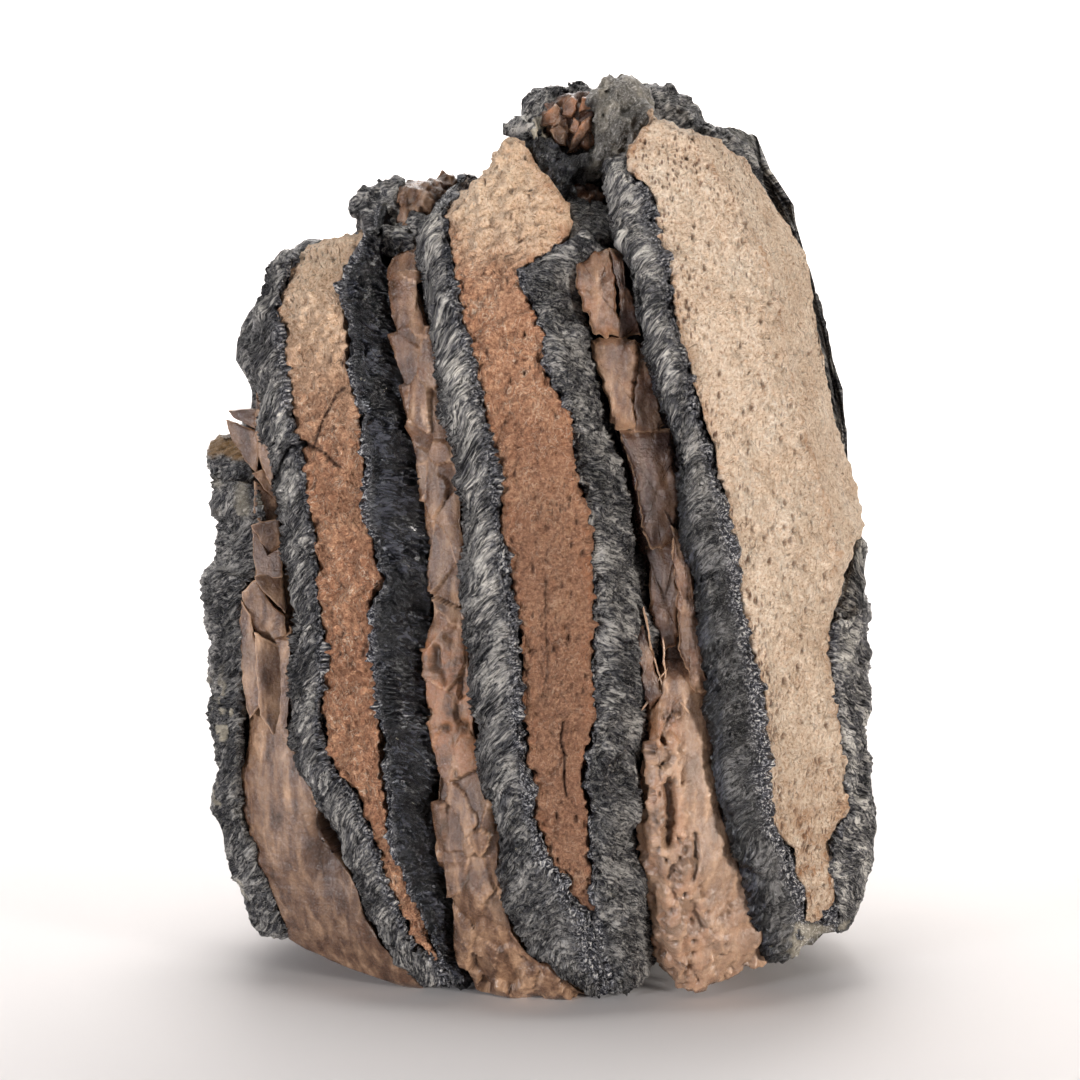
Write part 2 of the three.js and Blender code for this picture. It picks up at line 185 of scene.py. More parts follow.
def noise(p, size, seed=0):
    """Smooth noise from -1 to 1; size is the width of one bump in millimetres."""
    q = np.asarray(p) / size + 100
    i = np.floor(q).astype(np.int64)
    f = q - i
    f = f * f * (3 - 2 * f)
    total = 0
    for corner in itertools.product((0, 1), repeat=3):
        near = np.abs(1 - np.array(corner) - f)
        cell = i + corner
        total = total + near[..., 0] * near[..., 1] * near[..., 2] * chance(*np.moveaxis(cell, -1, 0), seed)
    return 2 * total - 1


def ridges(p, size, seed=0):
    """Noise folded into narrow ridges, from 0 in the hollows to 1 on the crests."""
    return 1 - np.abs(noise(p, size, seed))


def cells(p, size, seed=0):
    """Distances to the nearest and second nearest of scattered points, the nearest's number and offset."""
    q = np.asarray(p) / size + 100
    i = np.floor(q).astype(np.int64)
    first = np.full(q.shape[:-1], 9.0)
    second = first.copy()
    number = np.zeros_like(first)
    offset = np.zeros_like(q)
    for step in itertools.product((-1, 0, 1), repeat=3):
        cell = np.moveaxis(i + step, -1, 0)
        gap = q - np.stack([cell[k] + chance(*cell, seed + k) for k in range(3)], axis=-1)
        away = np.sqrt((gap ** 2).sum(-1))
        near = away < first
        second = np.where(near, first, np.minimum(second, away))
        number = np.where(near, chance(*cell, seed + 7), number)
        offset = np.where(near[..., None], gap, offset)
        first = np.where(near, away, first)
    return first, second, number, offset * size


def ramp(value, low, high):
    t = np.clip((value - low) / (high - low), 0, 1)
    return t * t * (3 - 2 * t)


def fade(value, low, high):
    return 1 - ramp(value, low, high)


def curve(points):
    """A smooth curve through (place, value) points, as a function."""
    at, value = np.array(points, float).T
    slope = np.gradient(value, at)

    def read(z):
        z = np.clip(z, at[0], at[-1])
        k = np.clip(np.searchsorted(at, z) - 1, 0, len(at) - 2)
        span = at[k + 1] - at[k]
        t = (z - at[k]) / span
        a, b = value[k], value[k + 1]
        return (a + (b - a) * t * t * (3 - 2 * t)
                + span * t * (1 - t) * (slope[k] * (1 - t) - slope[k + 1] * t))
    return read


def steps(points):
    """Straight stretches through (place, value) points, for tops and broken ledges."""
    at, value = np.array(points, float).T
    return lambda z: np.interp(z, at, value)


def wall(points, drift, wobble=0.15, seed=0, lean=0.14, bulge=None):
    """The face between two tissues: the (z, x) points of its line up the front, its drift with depth,
    its waviness, how far it leans over behind the front, and its bulge with depth high up."""
    line = curve(points)
    depths = (8, 14, 20, 30, 42, 58)
    lean_depth = 9

    def x_at(y, z):
        x = line(z)
        x = x + np.interp(y, depths, drift) + lean * np.clip(y - tooth_front(x, z), 0, lean_depth)
        if bulge is not None:
            x = x + np.interp(y, depths, bulge) * ramp(z, 36, 52)
        p = np.stack([np.zeros_like(x), y, z], -1)
        fine = 0.6 * noise(p, 0.95, seed + 1)
        finest = 0.35 * noise(p, 0.45, seed + 2)
        return x + wobble * (noise(p, 2.7, seed) + fine + finest)
    return x_at


def form(recess, top, low=None, slant=0.0, pivot=0.0, ragged=0.3, most=99.0, at=80.0):
    """How far a band lies behind the tooth's front, its top edge from front to back, and its lowest height.
    The top climbs by slant for each millimetre to the right of pivot, and no higher than most;
    a column's own place is read at the height named at."""
    return SimpleNamespace(recess=steps(recess), top=steps(top), low=low, slant=slant, pivot=pivot,
                           ragged=ragged, most=most, at=at)


def outline(x_at, shape):
    """The tooth's outline at one place across it: up the front, back along the top and down again."""
    one = np.ones(1)
    low = shape.low
    if low is None:
        under = float(x_at(READ_Y["under"] * one, 0 * one)[0])
        low = max(0.0, (abs(under) - REST_HALF) * UNDER_SLOPE)
    rise = shape.slant * (float(x_at(10 * one, shape.at * one)[0]) - shape.pivot)

    def top(y):
        place = np.stack([x_at(y, READ_Z + 0 * y), y, 0 * y], -1)
        level = np.minimum(shape.top(y) + rise, shape.most)
        return level + shape.ragged * (noise(place, 2.2, 91) + 0.6 * noise(place, 0.8, 92))

    def front(z):
        return tooth_front(x_at(np.full_like(z, READ_Y["front"]), z), z) + shape.recess(z)

    def back(z):
        return tooth_back(x_at(np.full_like(z, READ_Y["back"]), z), z) - 0.4 * shape.recess(z)

    high_front = float(top(front(top(12 * one)))[0])
    high_back = float(top(back(top(44 * one)))[0])
    z0 = np.linspace(low, high_front, STEPS["front"], endpoint=False)
    y1 = np.linspace(float(front(high_front * one)[0]), float(back(high_back * one)[0]), STEPS["top"],
                     endpoint=False)
    z2 = np.linspace(high_back, low, STEPS["back"], endpoint=False)
    y3 = np.linspace(float(back(low * one)[0]), float(front(low * one)[0]), STEPS["under"], endpoint=False)
    return (np.concatenate([front(z0), y1, back(z2), y3]),
            np.concatenate([z0, top(y1), z2, np.full(len(y3), low)]))


def column(x_at, shape, inset=0.0):
    """One line of points round the tooth, moved in from its outline by inset."""
    y, z = outline(x_at, shape)
    to_y = SPINE_Y - y
    to_z = np.clip(z, *SPINE_Z) - z
    far = np.hypot(to_y, to_z)
    deepest = 0.86 * far
    move = np.minimum(inset, deepest) / far
    y = y + to_y * move
    z = z + to_z * move
    return np.stack([x_at(y, z), y, z], -1)


def skin(columns):
    """Closes a run of columns into points and faces: a net with a fan at each end, facing outward."""
    net = np.stack(columns, 1)
    rows, count = net.shape[:2]
    points = net.reshape(-1, 3)
    r, c = np.meshgrid(np.arange(rows), np.arange(count - 1), indexing="ij")
    after = (r + 1) % rows
    quads = np.stack([r * count + c, r * count + c + 1, after * count + c + 1, after * count + c], -1)
    quads = quads.reshape(-1, 4)
    ends = np.array([net[:, 0].mean(0), net[:, -1].mean(0)])
    row = np.arange(rows)
    after = (row + 1) % rows
    hub = rows * count
    left = np.stack([np.full(rows, hub), row * count, after * count], -1)
    right = np.stack([np.full(rows, hub + 1), after * count + count - 1, row * count + count - 1], -1)
    points = np.concatenate([points, ends])
    tris = np.concatenate([left, right])
    middle = points - points.mean(0)
    volume = np.einsum("ij,ij->", middle[quads[:, 0]], np.cross(middle[quads[:, 1]], middle[quads[:, 2]]))
    if volume < 0:
        quads = quads[:, ::-1]
        tris = tris[:, ::-1]
    return points, quads, tris


def normals(part):
    """Outward normals at a part's points, by the size of the faces that meet there."""
    points, quads, tris = part.points, part.quads, part.tris
    total = np.zeros_like(points)
    cross = np.cross(points[quads[:, 2]] - points[quads[:, 0]], points[quads[:, 3]] - points[quads[:, 1]])
    for k in range(4):
        np.add.at(total, quads[:, k], cross)
    if len(tris):
        cross = np.cross(points[tris[:, 1]] - points[tris[:, 0]], points[tris[:, 2]] - points[tris[:, 0]])
        for k in range(3):
            np.add.at(total, tris[:, k], cross)
    return total / np.maximum(np.linalg.norm(total, axis=1, keepdims=True), 1e-9)


def swell(part, lift):
    """Moves a part's points outward by lift, and keeps them above the table."""
    part.points = part.points + normals(part) * np.asarray(lift)[:, None]
    part.points[:, 2] = np.maximum(part.points[:, 2], TABLE_GAP)


# marks that the finishes read; pit is shade painted into sunk places: rib feet, cracks, pores and holes
MARKS = ("dark", "fringe", "stain", "pit", "pale")
TABLE_GAP = 0.02


def part_of(columns, marks):
    """A part of a piece: its net, and its marks, each a list with one value per column."""
    points, quads, tris = skin(columns)
    rows, count = len(columns[0]), len(columns)
    part = SimpleNamespace(points=points, quads=quads, tris=tris, grain=points.copy())
    for name in MARKS + ("share", "rise"):
        values = np.asarray(marks.get(name, np.zeros(count)), float)
        spread = np.broadcast_to(values, (rows, count)).reshape(-1)
        setattr(part, name, np.concatenate([spread, values[[0, -1]]]))
    return part


def raise_mark(part, name, value):
    """Brings one of a part's marks up to a value, and leaves it where it is stronger."""
    setattr(part, name, np.maximum(getattr(part, name), value))


def piece(cad_node, parts, finish):
    """Joins parts into one mesh that stands for a CAD node and rides on the tooth."""
    name = cad_node + "_detail"
    starts = np.cumsum([0] + [len(part.points) for part in parts])
    points = np.concatenate([part.points for part in parts])
    quads = np.concatenate([part.quads + start for part, start in zip(parts, starts)])
    tris = np.concatenate([part.tris + start for part, start in zip(parts, starts)])
    mesh = bpy.data.meshes.new(name)
    mesh.vertices.add(len(points))
    mesh.vertices.foreach_set("co", ((points - MIDDLE) * MM).astype(np.float32).ravel())
    mesh.loops.add(quads.size + tris.size)
    mesh.loops.foreach_set("vertex_index", np.concatenate([quads.ravel(), tris.ravel()]).astype(np.int32))
    mesh.polygons.add(len(quads) + len(tris))
    starts = np.concatenate([np.arange(len(quads)) * 4, quads.size + np.arange(len(tris)) * 3])
    mesh.polygons.foreach_set("loop_start", starts.astype(np.int32))
    mesh.polygons.foreach_set("use_smooth", np.ones(len(starts), bool))
    for mark in MARKS:
        layer = mesh.attributes.new(mark, "FLOAT", "POINT")
        values = np.concatenate([getattr(part, mark) for part in parts])
        layer.data.foreach_set("value", values.astype(np.float32))
    grain = mesh.attributes.new("grain", "FLOAT_VECTOR", "POINT")
    grains = np.concatenate([part.grain for part in parts])
    grain.data.foreach_set("vector", grains.astype(np.float32).ravel())
    mesh.update(calc_edges=True)
    mesh.validate()
    mesh.materials.append(finish)
    made = bpy.data.objects.new(name, mesh)
    bpy.context.scene.collection.objects.link(made)
    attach(made, "root")
    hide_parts(cad_node)


def fibres(points, lean, seed, rise=0.0):
    """Coordinates in millimetres along and across the enamel's fibres: they lean out of the level, and
    climb by rise on their way across the sheet."""
    across = points[:, 0] + 0.45 * noise(points, 3.1, seed)
    up = points[:, 2] - rise + 0.3 * points[:, 1]
    up = up + 0.9 * noise(points, 5.0, seed + 1) + 0.3 * noise(points, 1.6, seed + 2)
    return np.stack([across * np.cos(lean) + up * np.sin(lean),
                     -across * np.sin(lean) + up * np.cos(lean), points[:, 1]], -1)


def enamel_relief(part, seed, ribs=0.5):
    """Roughens enamel: broad lumps, ribs that lie over one another like bark, fine fibres, chips,
    and grains next to the dentine; paints shade at the foot of each rib."""
    points = part.points
    part.grain = fibres(points, 0.0, seed, part.rise)
    grain = part.grain
    first, _, number, _ = cells(points, 3.0, seed + 5)
    chip = np.where(number > 0.6, ramp(0.6 - first, 0, 0.12) * (0.5 + number), 0) * (1 - 0.6 * part.dark)
    rib_width = 0.9
    phase = (grain[:, 1] + 0.4 * grain[:, 2]) / rib_width
    phase = phase + 1.8 * noise(points, 2.6, seed + 3) + 0.9 * noise(points, 1.1, seed + 8)
    across = phase - np.floor(phase)
    scale = across * fade(across, 0.74, 1.0)
    strength = 0.35 + 0.65 * ramp(noise(grain * [0.4, 1, 0.5], 1.7, seed + 9), -0.35, 0.35)
    fibre = ridges(grain * [0.2, 1, 0.6], 0.5, seed + 4)
    grains = noise(points, 0.42, seed + 6)
    calm = (1 - 0.85 * part.fringe) * (0.45 + 0.9 * part.dark)
    # the foot of each rib, where it drops to the next, is painted dark: painted shade
    raise_mark(part, "pit", 0.75 * fade(across, 0.0, 0.22) * calm * strength)
    lift = 0.6 * noise(points, 4.4, seed) + 0.5 * noise(points, 1.9, seed + 1)
    lift += calm * strength * ribs * 1.6 * (scale - 0.35) + 0.18 * (fibre - 0.75) - 0.35 * chip
    lift += 0.45 * grains * part.fringe + 0.12 * grains
    swell(part, lift)


# how far in under the outline a band's side is drawn: one beside a groove, one between two bands,
# and one that is a side of the whole tooth
NEAR = [0.25, 0.55, 0.9, 1.4, 2.0, 2.8, 3.8, 5.2, 7.2, 10, 14, 20]
HIDDEN = [0.4, 1.0, 2.0, 4.0, 8.0, 16.0]
BROAD = list(np.linspace(0.3, 21, 36))


def blends(left, right, shares):
    return [lambda y, z, s=s: left(y, z) * (1 - s) + right(y, z) * s for s in shares]


def sheet(left, right, shape, crest, count, near_left=HIDDEN, near_right=HIDDEN):
    """Columns of one band from its left face over its edge to its right face, with its marks."""
    shares = np.linspace(0, 1, count)
    depth = crest(shares)
    columns = [column(left, shape, depth[0] + d) for d in near_left[::-1]]
    columns += [column(x, shape, d) for x, d in zip(blends(left, right, shares), depth)]
    columns += [column(right, shape, depth[-1] + d) for d in near_right]
    side = np.concatenate([np.ones(len(near_left)), np.zeros(count), np.ones(len(near_right))])
    share = np.concatenate([np.zeros(len(near_left)), shares, np.ones(len(near_right))])
    return columns, {"side": side, "share": share}


plate1_left = wall(
    [(5, -30.8), (10.5, -32.7), (15, -33.7), (19, -34.7), (24, -34.1), (27.6, -35.4), (38, -35.3),
     (45, -35.1), (46.4, -34.2), (50, -34.2), (53.7, -35.1), (58, -34.7), (60, -32.2), (64.5, -31.2),
     (66.5, -32.3), (70, -32.4), (80, -32)],
    (0, 0, 0.2, 0.8, 2.6, 5), seed=3, lean=0)
plate1_right = wall(
    [(6, -27.3), (9, -28.5), (12.6, -29.9), (16.5, -31.3), (22.7, -32.2), (25, -31.7), (31.5, -31.4),
     (37, -31.1), (43, -31), (45, -29.8), (55, -29.9), (57, -31.0), (60, -30.9), (66, -30.4), (80, -30)],
    (0, 0, 0.3, 1.2, 3, 5), seed=5)


def to_edges(share, power):
    """From 0 in the middle of a band to 1 at both its edges."""
    return np.abs(2 * share - 1) ** power


def even_crest(shares):
    return 1.1 * to_edges(shares, 3)


columns, marks = sheet(
    plate1_left, plate1_right,
    form([(5, 1), (20, 0.2), (44.4, 0.1), (45.2, 1.7), (50, 1.6), (50.6, 0.7), (54.6, 0.5), (55.2, 1.6),
          (58, 1.3)],
         [(14, 58), (16, 58.5), (18.5, 60), (20, 66), (22, 71), (30, 70), (48, 62)], slant=0.2, pivot=-33),
    even_crest, 18, near_left=BROAD, near_right=NEAR)
marks["rise"] = 2.5 * marks["share"]
marks["dark"] = 0.35 + 0.3 * marks["share"]
plate_1 = part_of(columns, marks)
points = plate_1.points
y, height = points[:, 1], points[:, 2]
cap = ramp(height + 0.5 * noise(points, 1.2, 22), 56.6, 57.2) * fade(height, 58.6, 59.4)
plate_1.stain = 0.8 * cap * (y < 19)
ledge = ramp(height, 50, 51) * fade(height, 54.5, 56)
plate_1.pale = 0.4 * ledge * ramp(noise(points, 1.5, 23), -0.2, 0.5)
fleck = ramp(noise(points * [1, 1, 0.7], 0.7, 24), 0.32, 0.45) * fade(height, 30, 36)
raise_mark(plate_1, "pale", 0.75 * fleck * ramp(noise(points, 3.5, 26), -0.1, 0.2))
enamel_relief(plate_1, 21)


def ramp_colours(add, value, stops):
    """A colour ramp through (position, hex colour) stops."""
    made = add("ValToRGB", Fac=value)
    for _ in stops[2:]:
        made.color_ramp.elements.new(0.5)
    for element, (position, colour) in zip(made.color_ramp.elements, stops):
        element.position = position
        element.color = srgb(colour)
    return made


def layer_over(add, below, factor, colour):
    """Lays a colour, a hex code or a node's, over another one by a factor."""
    if isinstance(colour, str):
        colour = srgb(colour)
    mix = add("Mix", factor, data_type="RGBA")
    fill(mix, {6: below, 7: colour})
    return mix.outputs[2]


def mark_of(add, name, output="Fac"):
    return add("Attribute", attribute_name=name).outputs[output]


def streaks(add, grain, size, shift=0.0, **values):
    """A noise with bumps of their own size in millimetres along each axis of the grain."""
    at = add("Mapping", Vector=grain, Location=[shift] * 3, Scale=[1 / width for width in size])
    return add("TexNoise", Vector=at, Scale=1.0, **values)


def off_middle(add, value):
    """How far a noise is from its middle value."""
    middle = add("Math", value, 0.5, operation="SUBTRACT")
    return add("Math", middle, operation="ABSOLUTE")


def thin_lines(add, grain, size, shift, width):
    """Fine curling lines, 1 on the line: where a noise drawn out along the grain passes its middle."""
    swirl = streaks(add, grain, size, shift, Detail=4.0, Roughness=0.6, Distortion=1.2)
    return add("MapRange", Value=off_middle(add, swirl), From_Min=width, From_Max=0.2 * width)


def enamel_finish():
    """Enamel turned to stone: glassy, from blue-black to grey with the strands of its fibres, painted
    lighter on their crests and darker in their hollows, pale wisps that are partly its own streaks and
    partly painted highlights, cream flecks where it is bruised, and dark grains next to the dentine with
    bright tips that are painted highlights; its seams and pits are painted shade."""
    made, add, shader = material("fossil_enamel")
    grain = mark_of(add, "grain", "Vector")
    dark = mark_of(add, "dark")
    fringe = mark_of(add, "fringe")
    bundle = streaks(add, grain, (1.9, 0.8, 1 / 0.7), Detail=6.0, Roughness=0.62, Distortion=2.0)
    strand = streaks(add, grain, (0.6, 0.22, 1.0), Detail=4.0, Roughness=0.65, Distortion=0.6)
    patch = add("TexNoise", Vector=grain, Scale=1 / 3.4, Detail=3.0, Roughness=0.6)
    speck = add("TexNoise", Vector=grain, Scale=1 / 0.26, Detail=3.0, Roughness=0.7)
    # joined also raises the bump below, so the enamel is painted lighter on the crests of its streaks and
    # darker in their hollows: partly its own tone, partly painted light and shade
    joined = add("Math", strand, 0.25, bundle, operation="MULTIPLY_ADD")
    toned = add("Math", patch, 0.7, joined, operation="MULTIPLY_ADD")
    tone = add("MapRange", Value=toned, From_Min=0.83, From_Max=1.12)
    colour = ramp_colours(add, tone,
                          [(0.05, "#0e0e12"), (0.42, "#48474b"), (0.64, "#85827f"), (1.0, "#c8c3ba")])
    deep = ramp_colours(add, tone, [(0.3, "#020204"), (0.6, "#08090d"), (1.0, "#32333a")])
    calm = add("Math", dark, -0.52, 0.6, operation="MULTIPLY_ADD")
    # pale curling wisps, raised in the bump too: partly the stone's own pale streaks, partly painted
    # highlights
    wisp = thin_lines(add, grain, (1.8, 0.8, 1.3), 0.0, 0.03)
    light = add("Math", wisp, calm, operation="MULTIPLY")
    # dark seams, sunk in the bump: painted shade in the cracks between the ribs
    seam = thin_lines(add, grain, (2.4, 1.0, 1.5), 31.0, 0.02)
    # dark grains next to the dentine; their bright tips, where the speck noise also raises the bump, are
    # painted highlights
    grains = ramp_colours(add, speck,
                          [(0.4, "#07080c"), (0.5, "#26272e"), (0.57, "#75757b"), (0.65, "#c8c4bc")])
    edge = add("Math", fringe, 0.92, operation="MULTIPLY")
    fleck = add("TexNoise", Vector=grain, Scale=1 / 1.1, Detail=5.0, Roughness=0.75)
    cream = add("MapRange", Value=fleck, From_Min=0.67, From_Max=0.72, To_Max=0.7)
    # the pit mark lays painted shade at the foot of the ribs and in cracks
    for factor, tint in ((dark, deep), (light, "#aeaba4"), (seam, "#060608"), (edge, grains),
                         (cream, "#aaa28d"), (mark_of(add, "pale"), "#b0a794"),
                         (mark_of(add, "stain"), "#80633f"), (mark_of(add, "pit"), "#040406")):
        colour = layer_over(add, colour, factor, tint)
    worn = add("MapRange", Value=speck, From_Min=0.35, From_Max=0.7, To_Min=0.25, To_Max=0.45)
    shine = add("Math", dark, -0.13, worn, operation="MULTIPLY_ADD")
    sandy = add("Math", fringe, 0.5, 0.08, operation="MULTIPLY_ADD")
    fine = add("Math", speck, sandy, operation="MULTIPLY")
    raised = add("Math", wisp, 0.12, fine, operation="MULTIPLY_ADD")
    sunk = add("Math", seam, -0.2, raised, operation="MULTIPLY_ADD")
    combed = add("Math", joined, sunk, operation="ADD")
    glassy = add("MapRange", Value=dark, To_Min=1.0, To_Max=0.5)
    bump = add("Bump", Strength=glassy, Distance=0.7 * MM, Height=combed)
    fill(shader, {"Base Color": colour, "Roughness": shine, "IOR": 1.55, "Specular IOR Level": 0.3,
                  "Normal": bump})
    return made


enamel = enamel_finish()
piece("plate_1_enamel", [plate_1], enamel)

# ---- cement 1: between plates 1 and 2 --------------------------------------------------------------
# Brown tooth cement, splintered into sharp shells above where its cover broke off, and a smooth
# waxy body below with a scooped hollow.
plate2_left = wall(
    [(-2, -12.2), (1.8, -13.6), (5, -16.3), (8, -18.4), (12.6, -19.6), (16, -21.1), (20.7, -23.1),
     (24.4, -25.2), (27.2, -26.4), (33.4, -26.3), (45, -26.5), (50.4, -27.1), (54, -27.6), (57, -28.7),
     (61, -29.4), (65, -30), (70, -30.2), (77, -28.8), (90, -28)],
    (0, 0, 0.8, 2, 3.4, 5), seed=7)


def shatter(part, size, depth, seed, where=1.0, rim=0.05):
    """Breaks a surface into flat-faced shells, each tilted its own way; returns how far to move it."""
    warped = part.points + 0.5 * noise(part.points, 2.1, seed + 30)[:, None]
    first, second, number, offset = cells(warped * [1.25, 1, 0.8], size, seed)
    key = np.round(number * 4000).astype(np.int64)
    tilt = np.stack([chance(key, key + 57, key + 114, seed + j) for j in range(3)], -1) - 0.5
    lift = depth * (number - 0.5) + 0.6 * (offset * tilt).sum(-1)
    # pale rims along the shells' sharp edges: painted highlights
    edge = fade(second - first, 0.0, rim) * ramp(number, 0.4, 0.9)
    raise_mark(part, "fringe", 0.6 * edge * where)
    raise_mark(part, "dark", 0.5 * ramp(0.3 - number, 0, 0.2) * where)
    return lift * where


def chunk(corners, front, tilt=(0.0, 0.0), thick=3.0, bevel=0.12, ripple=0.05, seed=0, bow=0.0, ragged=0.12):
    """A broken piece with a flat or bowed face: its corners seen from the front, the depth of its face,
    the tilt of that face in x and z, and its thickness."""
    corners = np.array(corners, float)
    ends = np.roll(corners, -1, 0)
    spacing = 0.2
    counts = np.maximum(2, (np.hypot(*(ends - corners).T) / spacing).astype(int))
    rim = np.concatenate([a + (b - a) * np.linspace(0, 1, n, endpoint=False)[:, None]
                          for a, b, n in zip(corners, ends, counts)])
    spots = np.stack([rim[:, 0], np.full(len(rim), float(seed)), rim[:, 1]], -1)
    rim = rim + ragged * np.stack([noise(spots, 0.9, 93) + 0.6 * noise(spots, 0.4, 94),
                                   noise(spots, 0.9, 95) + 0.6 * noise(spots, 0.4, 96)], -1)
    centre = corners.mean(0)
    reach = np.hypot(*(rim - centre).T).max()
    columns = []
    for share in (0.03, 0.12, 0.22, 0.32, 0.42, 0.52, 0.62, 0.71, 0.8, 0.87, 0.93, 0.97, 1.0):
        flat = centre + (rim - centre) * share
        away = flat - centre
        far = np.hypot(*away.T)
        place = np.stack([flat[:, 0], np.full(len(flat), 3.0 * seed), flat[:, 1]], -1)
        y = front + away @ np.array(tilt) + bow * (far / reach) ** 2
        y = y - ripple * (2 * ridges(place, 2.2, 97) + 1.2 * noise(place, 0.8, 98))
        y = y + bevel * max(0.0, (share - 0.8) / 0.2) ** 2
        columns.append(np.stack([flat[:, 0], y, flat[:, 1]], -1))
    edge = columns[-1]
    for back, narrow in ((0.35 * thick, 0.03), (thick, 0.25)):
        columns.append(edge + [0, back, 0] - (edge - edge.mean(0)) * [narrow, 0, narrow])
    # the bevelled rim takes the pale fringe, painted highlights on its sharp edge, and its sides going back
    # are darker
    return part_of(columns, {"fringe": [0] * 11 + [0.2, 0.75, 0.1, 0], "dark": [0] * 13 + [0.5, 0.6]})


def cement_relief(part, lift=0.0, waves=0.12):
    """Adds the given relief to cement with the faint waves of its growth lines."""
    points = part.points
    swell(part, lift + waves * noise(points, 2.6, 61) + 0.4 * waves * noise(points, 0.9, 62))


def darken(part, shade):
    """Brings cement up to a darkness, but for the pale rims of its shells, which are painted highlights."""
    raise_mark(part, "dark", shade)
    part.dark = np.clip(part.dark * (1 - part.fringe), 0, 1)


columns, marks = sheet(
    plate1_right, plate2_left,
    form([(3, 0.8), (12, 1.2), (18, 1.6), (26, 1.8), (38, 2.2), (41, 4.8), (60, 6)],
         [(14, 60), (18, 62), (20, 67), (30, 70), (46, 66)]),
    lambda s: 0.3 * to_edges(s, 4) + 0.2 * (1 - s), 48)
cement_1 = part_of(columns, marks)
points = cement_1.points
x, _, z = points.T
high = ramp(z, 36, 44)
scoop = np.exp(-((x + 22.2) / 1.8) ** 2 - ((z - 17) / 4.5) ** 2)
lift = shatter(cement_1, 4.2, 1.6, 31, high) - 1.7 * scoop
foot = fade(z, 8, 24)
# darker at the top left and towards the foot, and in the scooped hollow, where it is painted shade
cement_1.dark = np.clip(0.8 * high * (x < -29) + 0.5 * scoop + 0.42 * foot, 0, 1)
long_waves = 0.35 * noise(points * [1, 0.5, 0.12], 1.6, 64) * ramp(z, 24, 30) * (1 - high)
cement_relief(cement_1, lift + long_waves + 0.3 * noise(points, 6.0, 65))
# corners (x, z), depth of the face, its tilt in x and z
SHARDS = [
    ([(-32.6, 61.7), (-32.1, 61.3), (-30.9, 60.7), (-29.4, 60.1), (-29.2, 62.2), (-30.7, 62)],
     14, (-0.25, 0.2)),
    ([(-32.8, 60.9), (-32.4, 59.7), (-32.1, 58.7), (-30.7, 56.5), (-29.5, 55.2), (-29.2, 59.6),
      (-31.4, 60.5)], 14.2, (-0.3, -0.1)),
    ([(-29.5, 62), (-29.5, 59.5), (-29.2, 56.8), (-27.9, 54), (-27.6, 56.5), (-28.2, 60), (-28.6, 62)],
     12.3, (-0.5, 0)),
    ([(-29.9, 55.5), (-28.8, 55.8), (-27.4, 53.4), (-27.2, 52.4), (-28.7, 54)], 12.2, (0.2, 0.2)),
    ([(-29.7, 54.6), (-28.3, 53.4), (-27.4, 52.4), (-27.4, 50.3), (-29.2, 50), (-29.9, 51.2)],
     13.9, (0.35, -0.15)),
    ([(-30.1, 49.9), (-29, 50.4), (-27.2, 50.7), (-27, 47.9), (-28.3, 46.6)], 12.9, (0.1, -0.25)),
    ([(-30.1, 49.9), (-28.3, 46.6), (-27, 47.9), (-26.8, 44.5), (-29.6, 44.3), (-30, 46.7)],
     13, (-0.2, 0.12)),
    ([(-29.7, 44.7), (-26.9, 45), (-26.6, 40.8), (-28, 42.2), (-29.1, 43.4)], 12.4, (0.3, 0.2)),
    ([(-31.2, 43), (-29.7, 44.3), (-28.9, 43), (-28, 41.4), (-26.7, 40.3), (-26.7, 36.5), (-29.2, 36),
      (-30.2, 39.7), (-31.2, 40.9)], 13.2, (-0.15, -0.1)),
    ([(-31.4, 42), (-30.4, 40.5), (-29.6, 36.5), (-29.3, 31), (-30.6, 29.5), (-31.3, 34)],
     12.9, (-0.4, 0)),
    ([(-29.9, 38.8), (-27.6, 37.4), (-26.6, 37.8), (-26.6, 30.5), (-28, 28), (-29.4, 30)],
     12.4, (0.25, 0.03)),
]
shards = [chunk(*row, thick=3.5, seed=k) for k, row in enumerate(SHARDS)]
for shard in shards:
    darken(shard, 0.25 + 0.5 * noise(shard.points, 2.4, 63))
    cement_relief(shard, waves=0.05)


def cement_finish():
    """Tooth cement turned to stone: brown and waxy, with pale sharp edges that are painted highlights,
    darker patches, some of them painted shade in its hollows and deep places, and rusty patches where it
    is porous."""
    made, add, shader = material("fossil_cement")
    grain = mark_of(add, "grain", "Vector")
    layers = streaks(add, grain, (1.3, 1.3, 4.6), Detail=5.0, Roughness=0.62, Distortion=0.4)
    colour = ramp_colours(add, layers,
                          [(0.32, "#3f2b1b"), (0.44, "#614635"), (0.57, "#876951"), (0.7, "#b08e72")])
    rust = add("TexNoise", Vector=grain, Scale=1 / 2.2, Detail=4.0, Roughness=0.65)
    rusty = add("MapRange", Value=rust, From_Min=0.42, From_Max=0.6)
    rusted = add("Math", rusty, mark_of(add, "stain"), operation="MULTIPLY")
    colour = layer_over(add, colour, rusted, "#98694a")
    # fringe lays painted highlights on sharp edges, pit painted shade in holes and cracks, and dark partly
    # the stone's own tone and partly painted shade
    for mark, tint in (("pale", "#b59a84"), ("dark", "#33211b"), ("fringe", "#c8a486"), ("pit", "#23160f")):
        colour = layer_over(add, colour, mark_of(add, mark), tint)
    fine = add("TexNoise", Vector=grain, Scale=1 / 0.45, Detail=5.0, Roughness=0.68)
    rough = add("MapRange", Value=fine, From_Min=0.35, From_Max=0.7, To_Min=0.14, To_Max=0.4)
    bump = add("Bump", Strength=1.0, Distance=0.16 * MM, Height=fine)
    fill(shader, {"Base Color": colour, "Roughness": rough, "IOR": 1.54, "Normal": bump})
    return made


cement = cement_finish()
piece("cement_1", [cement_1] + shards, cement)

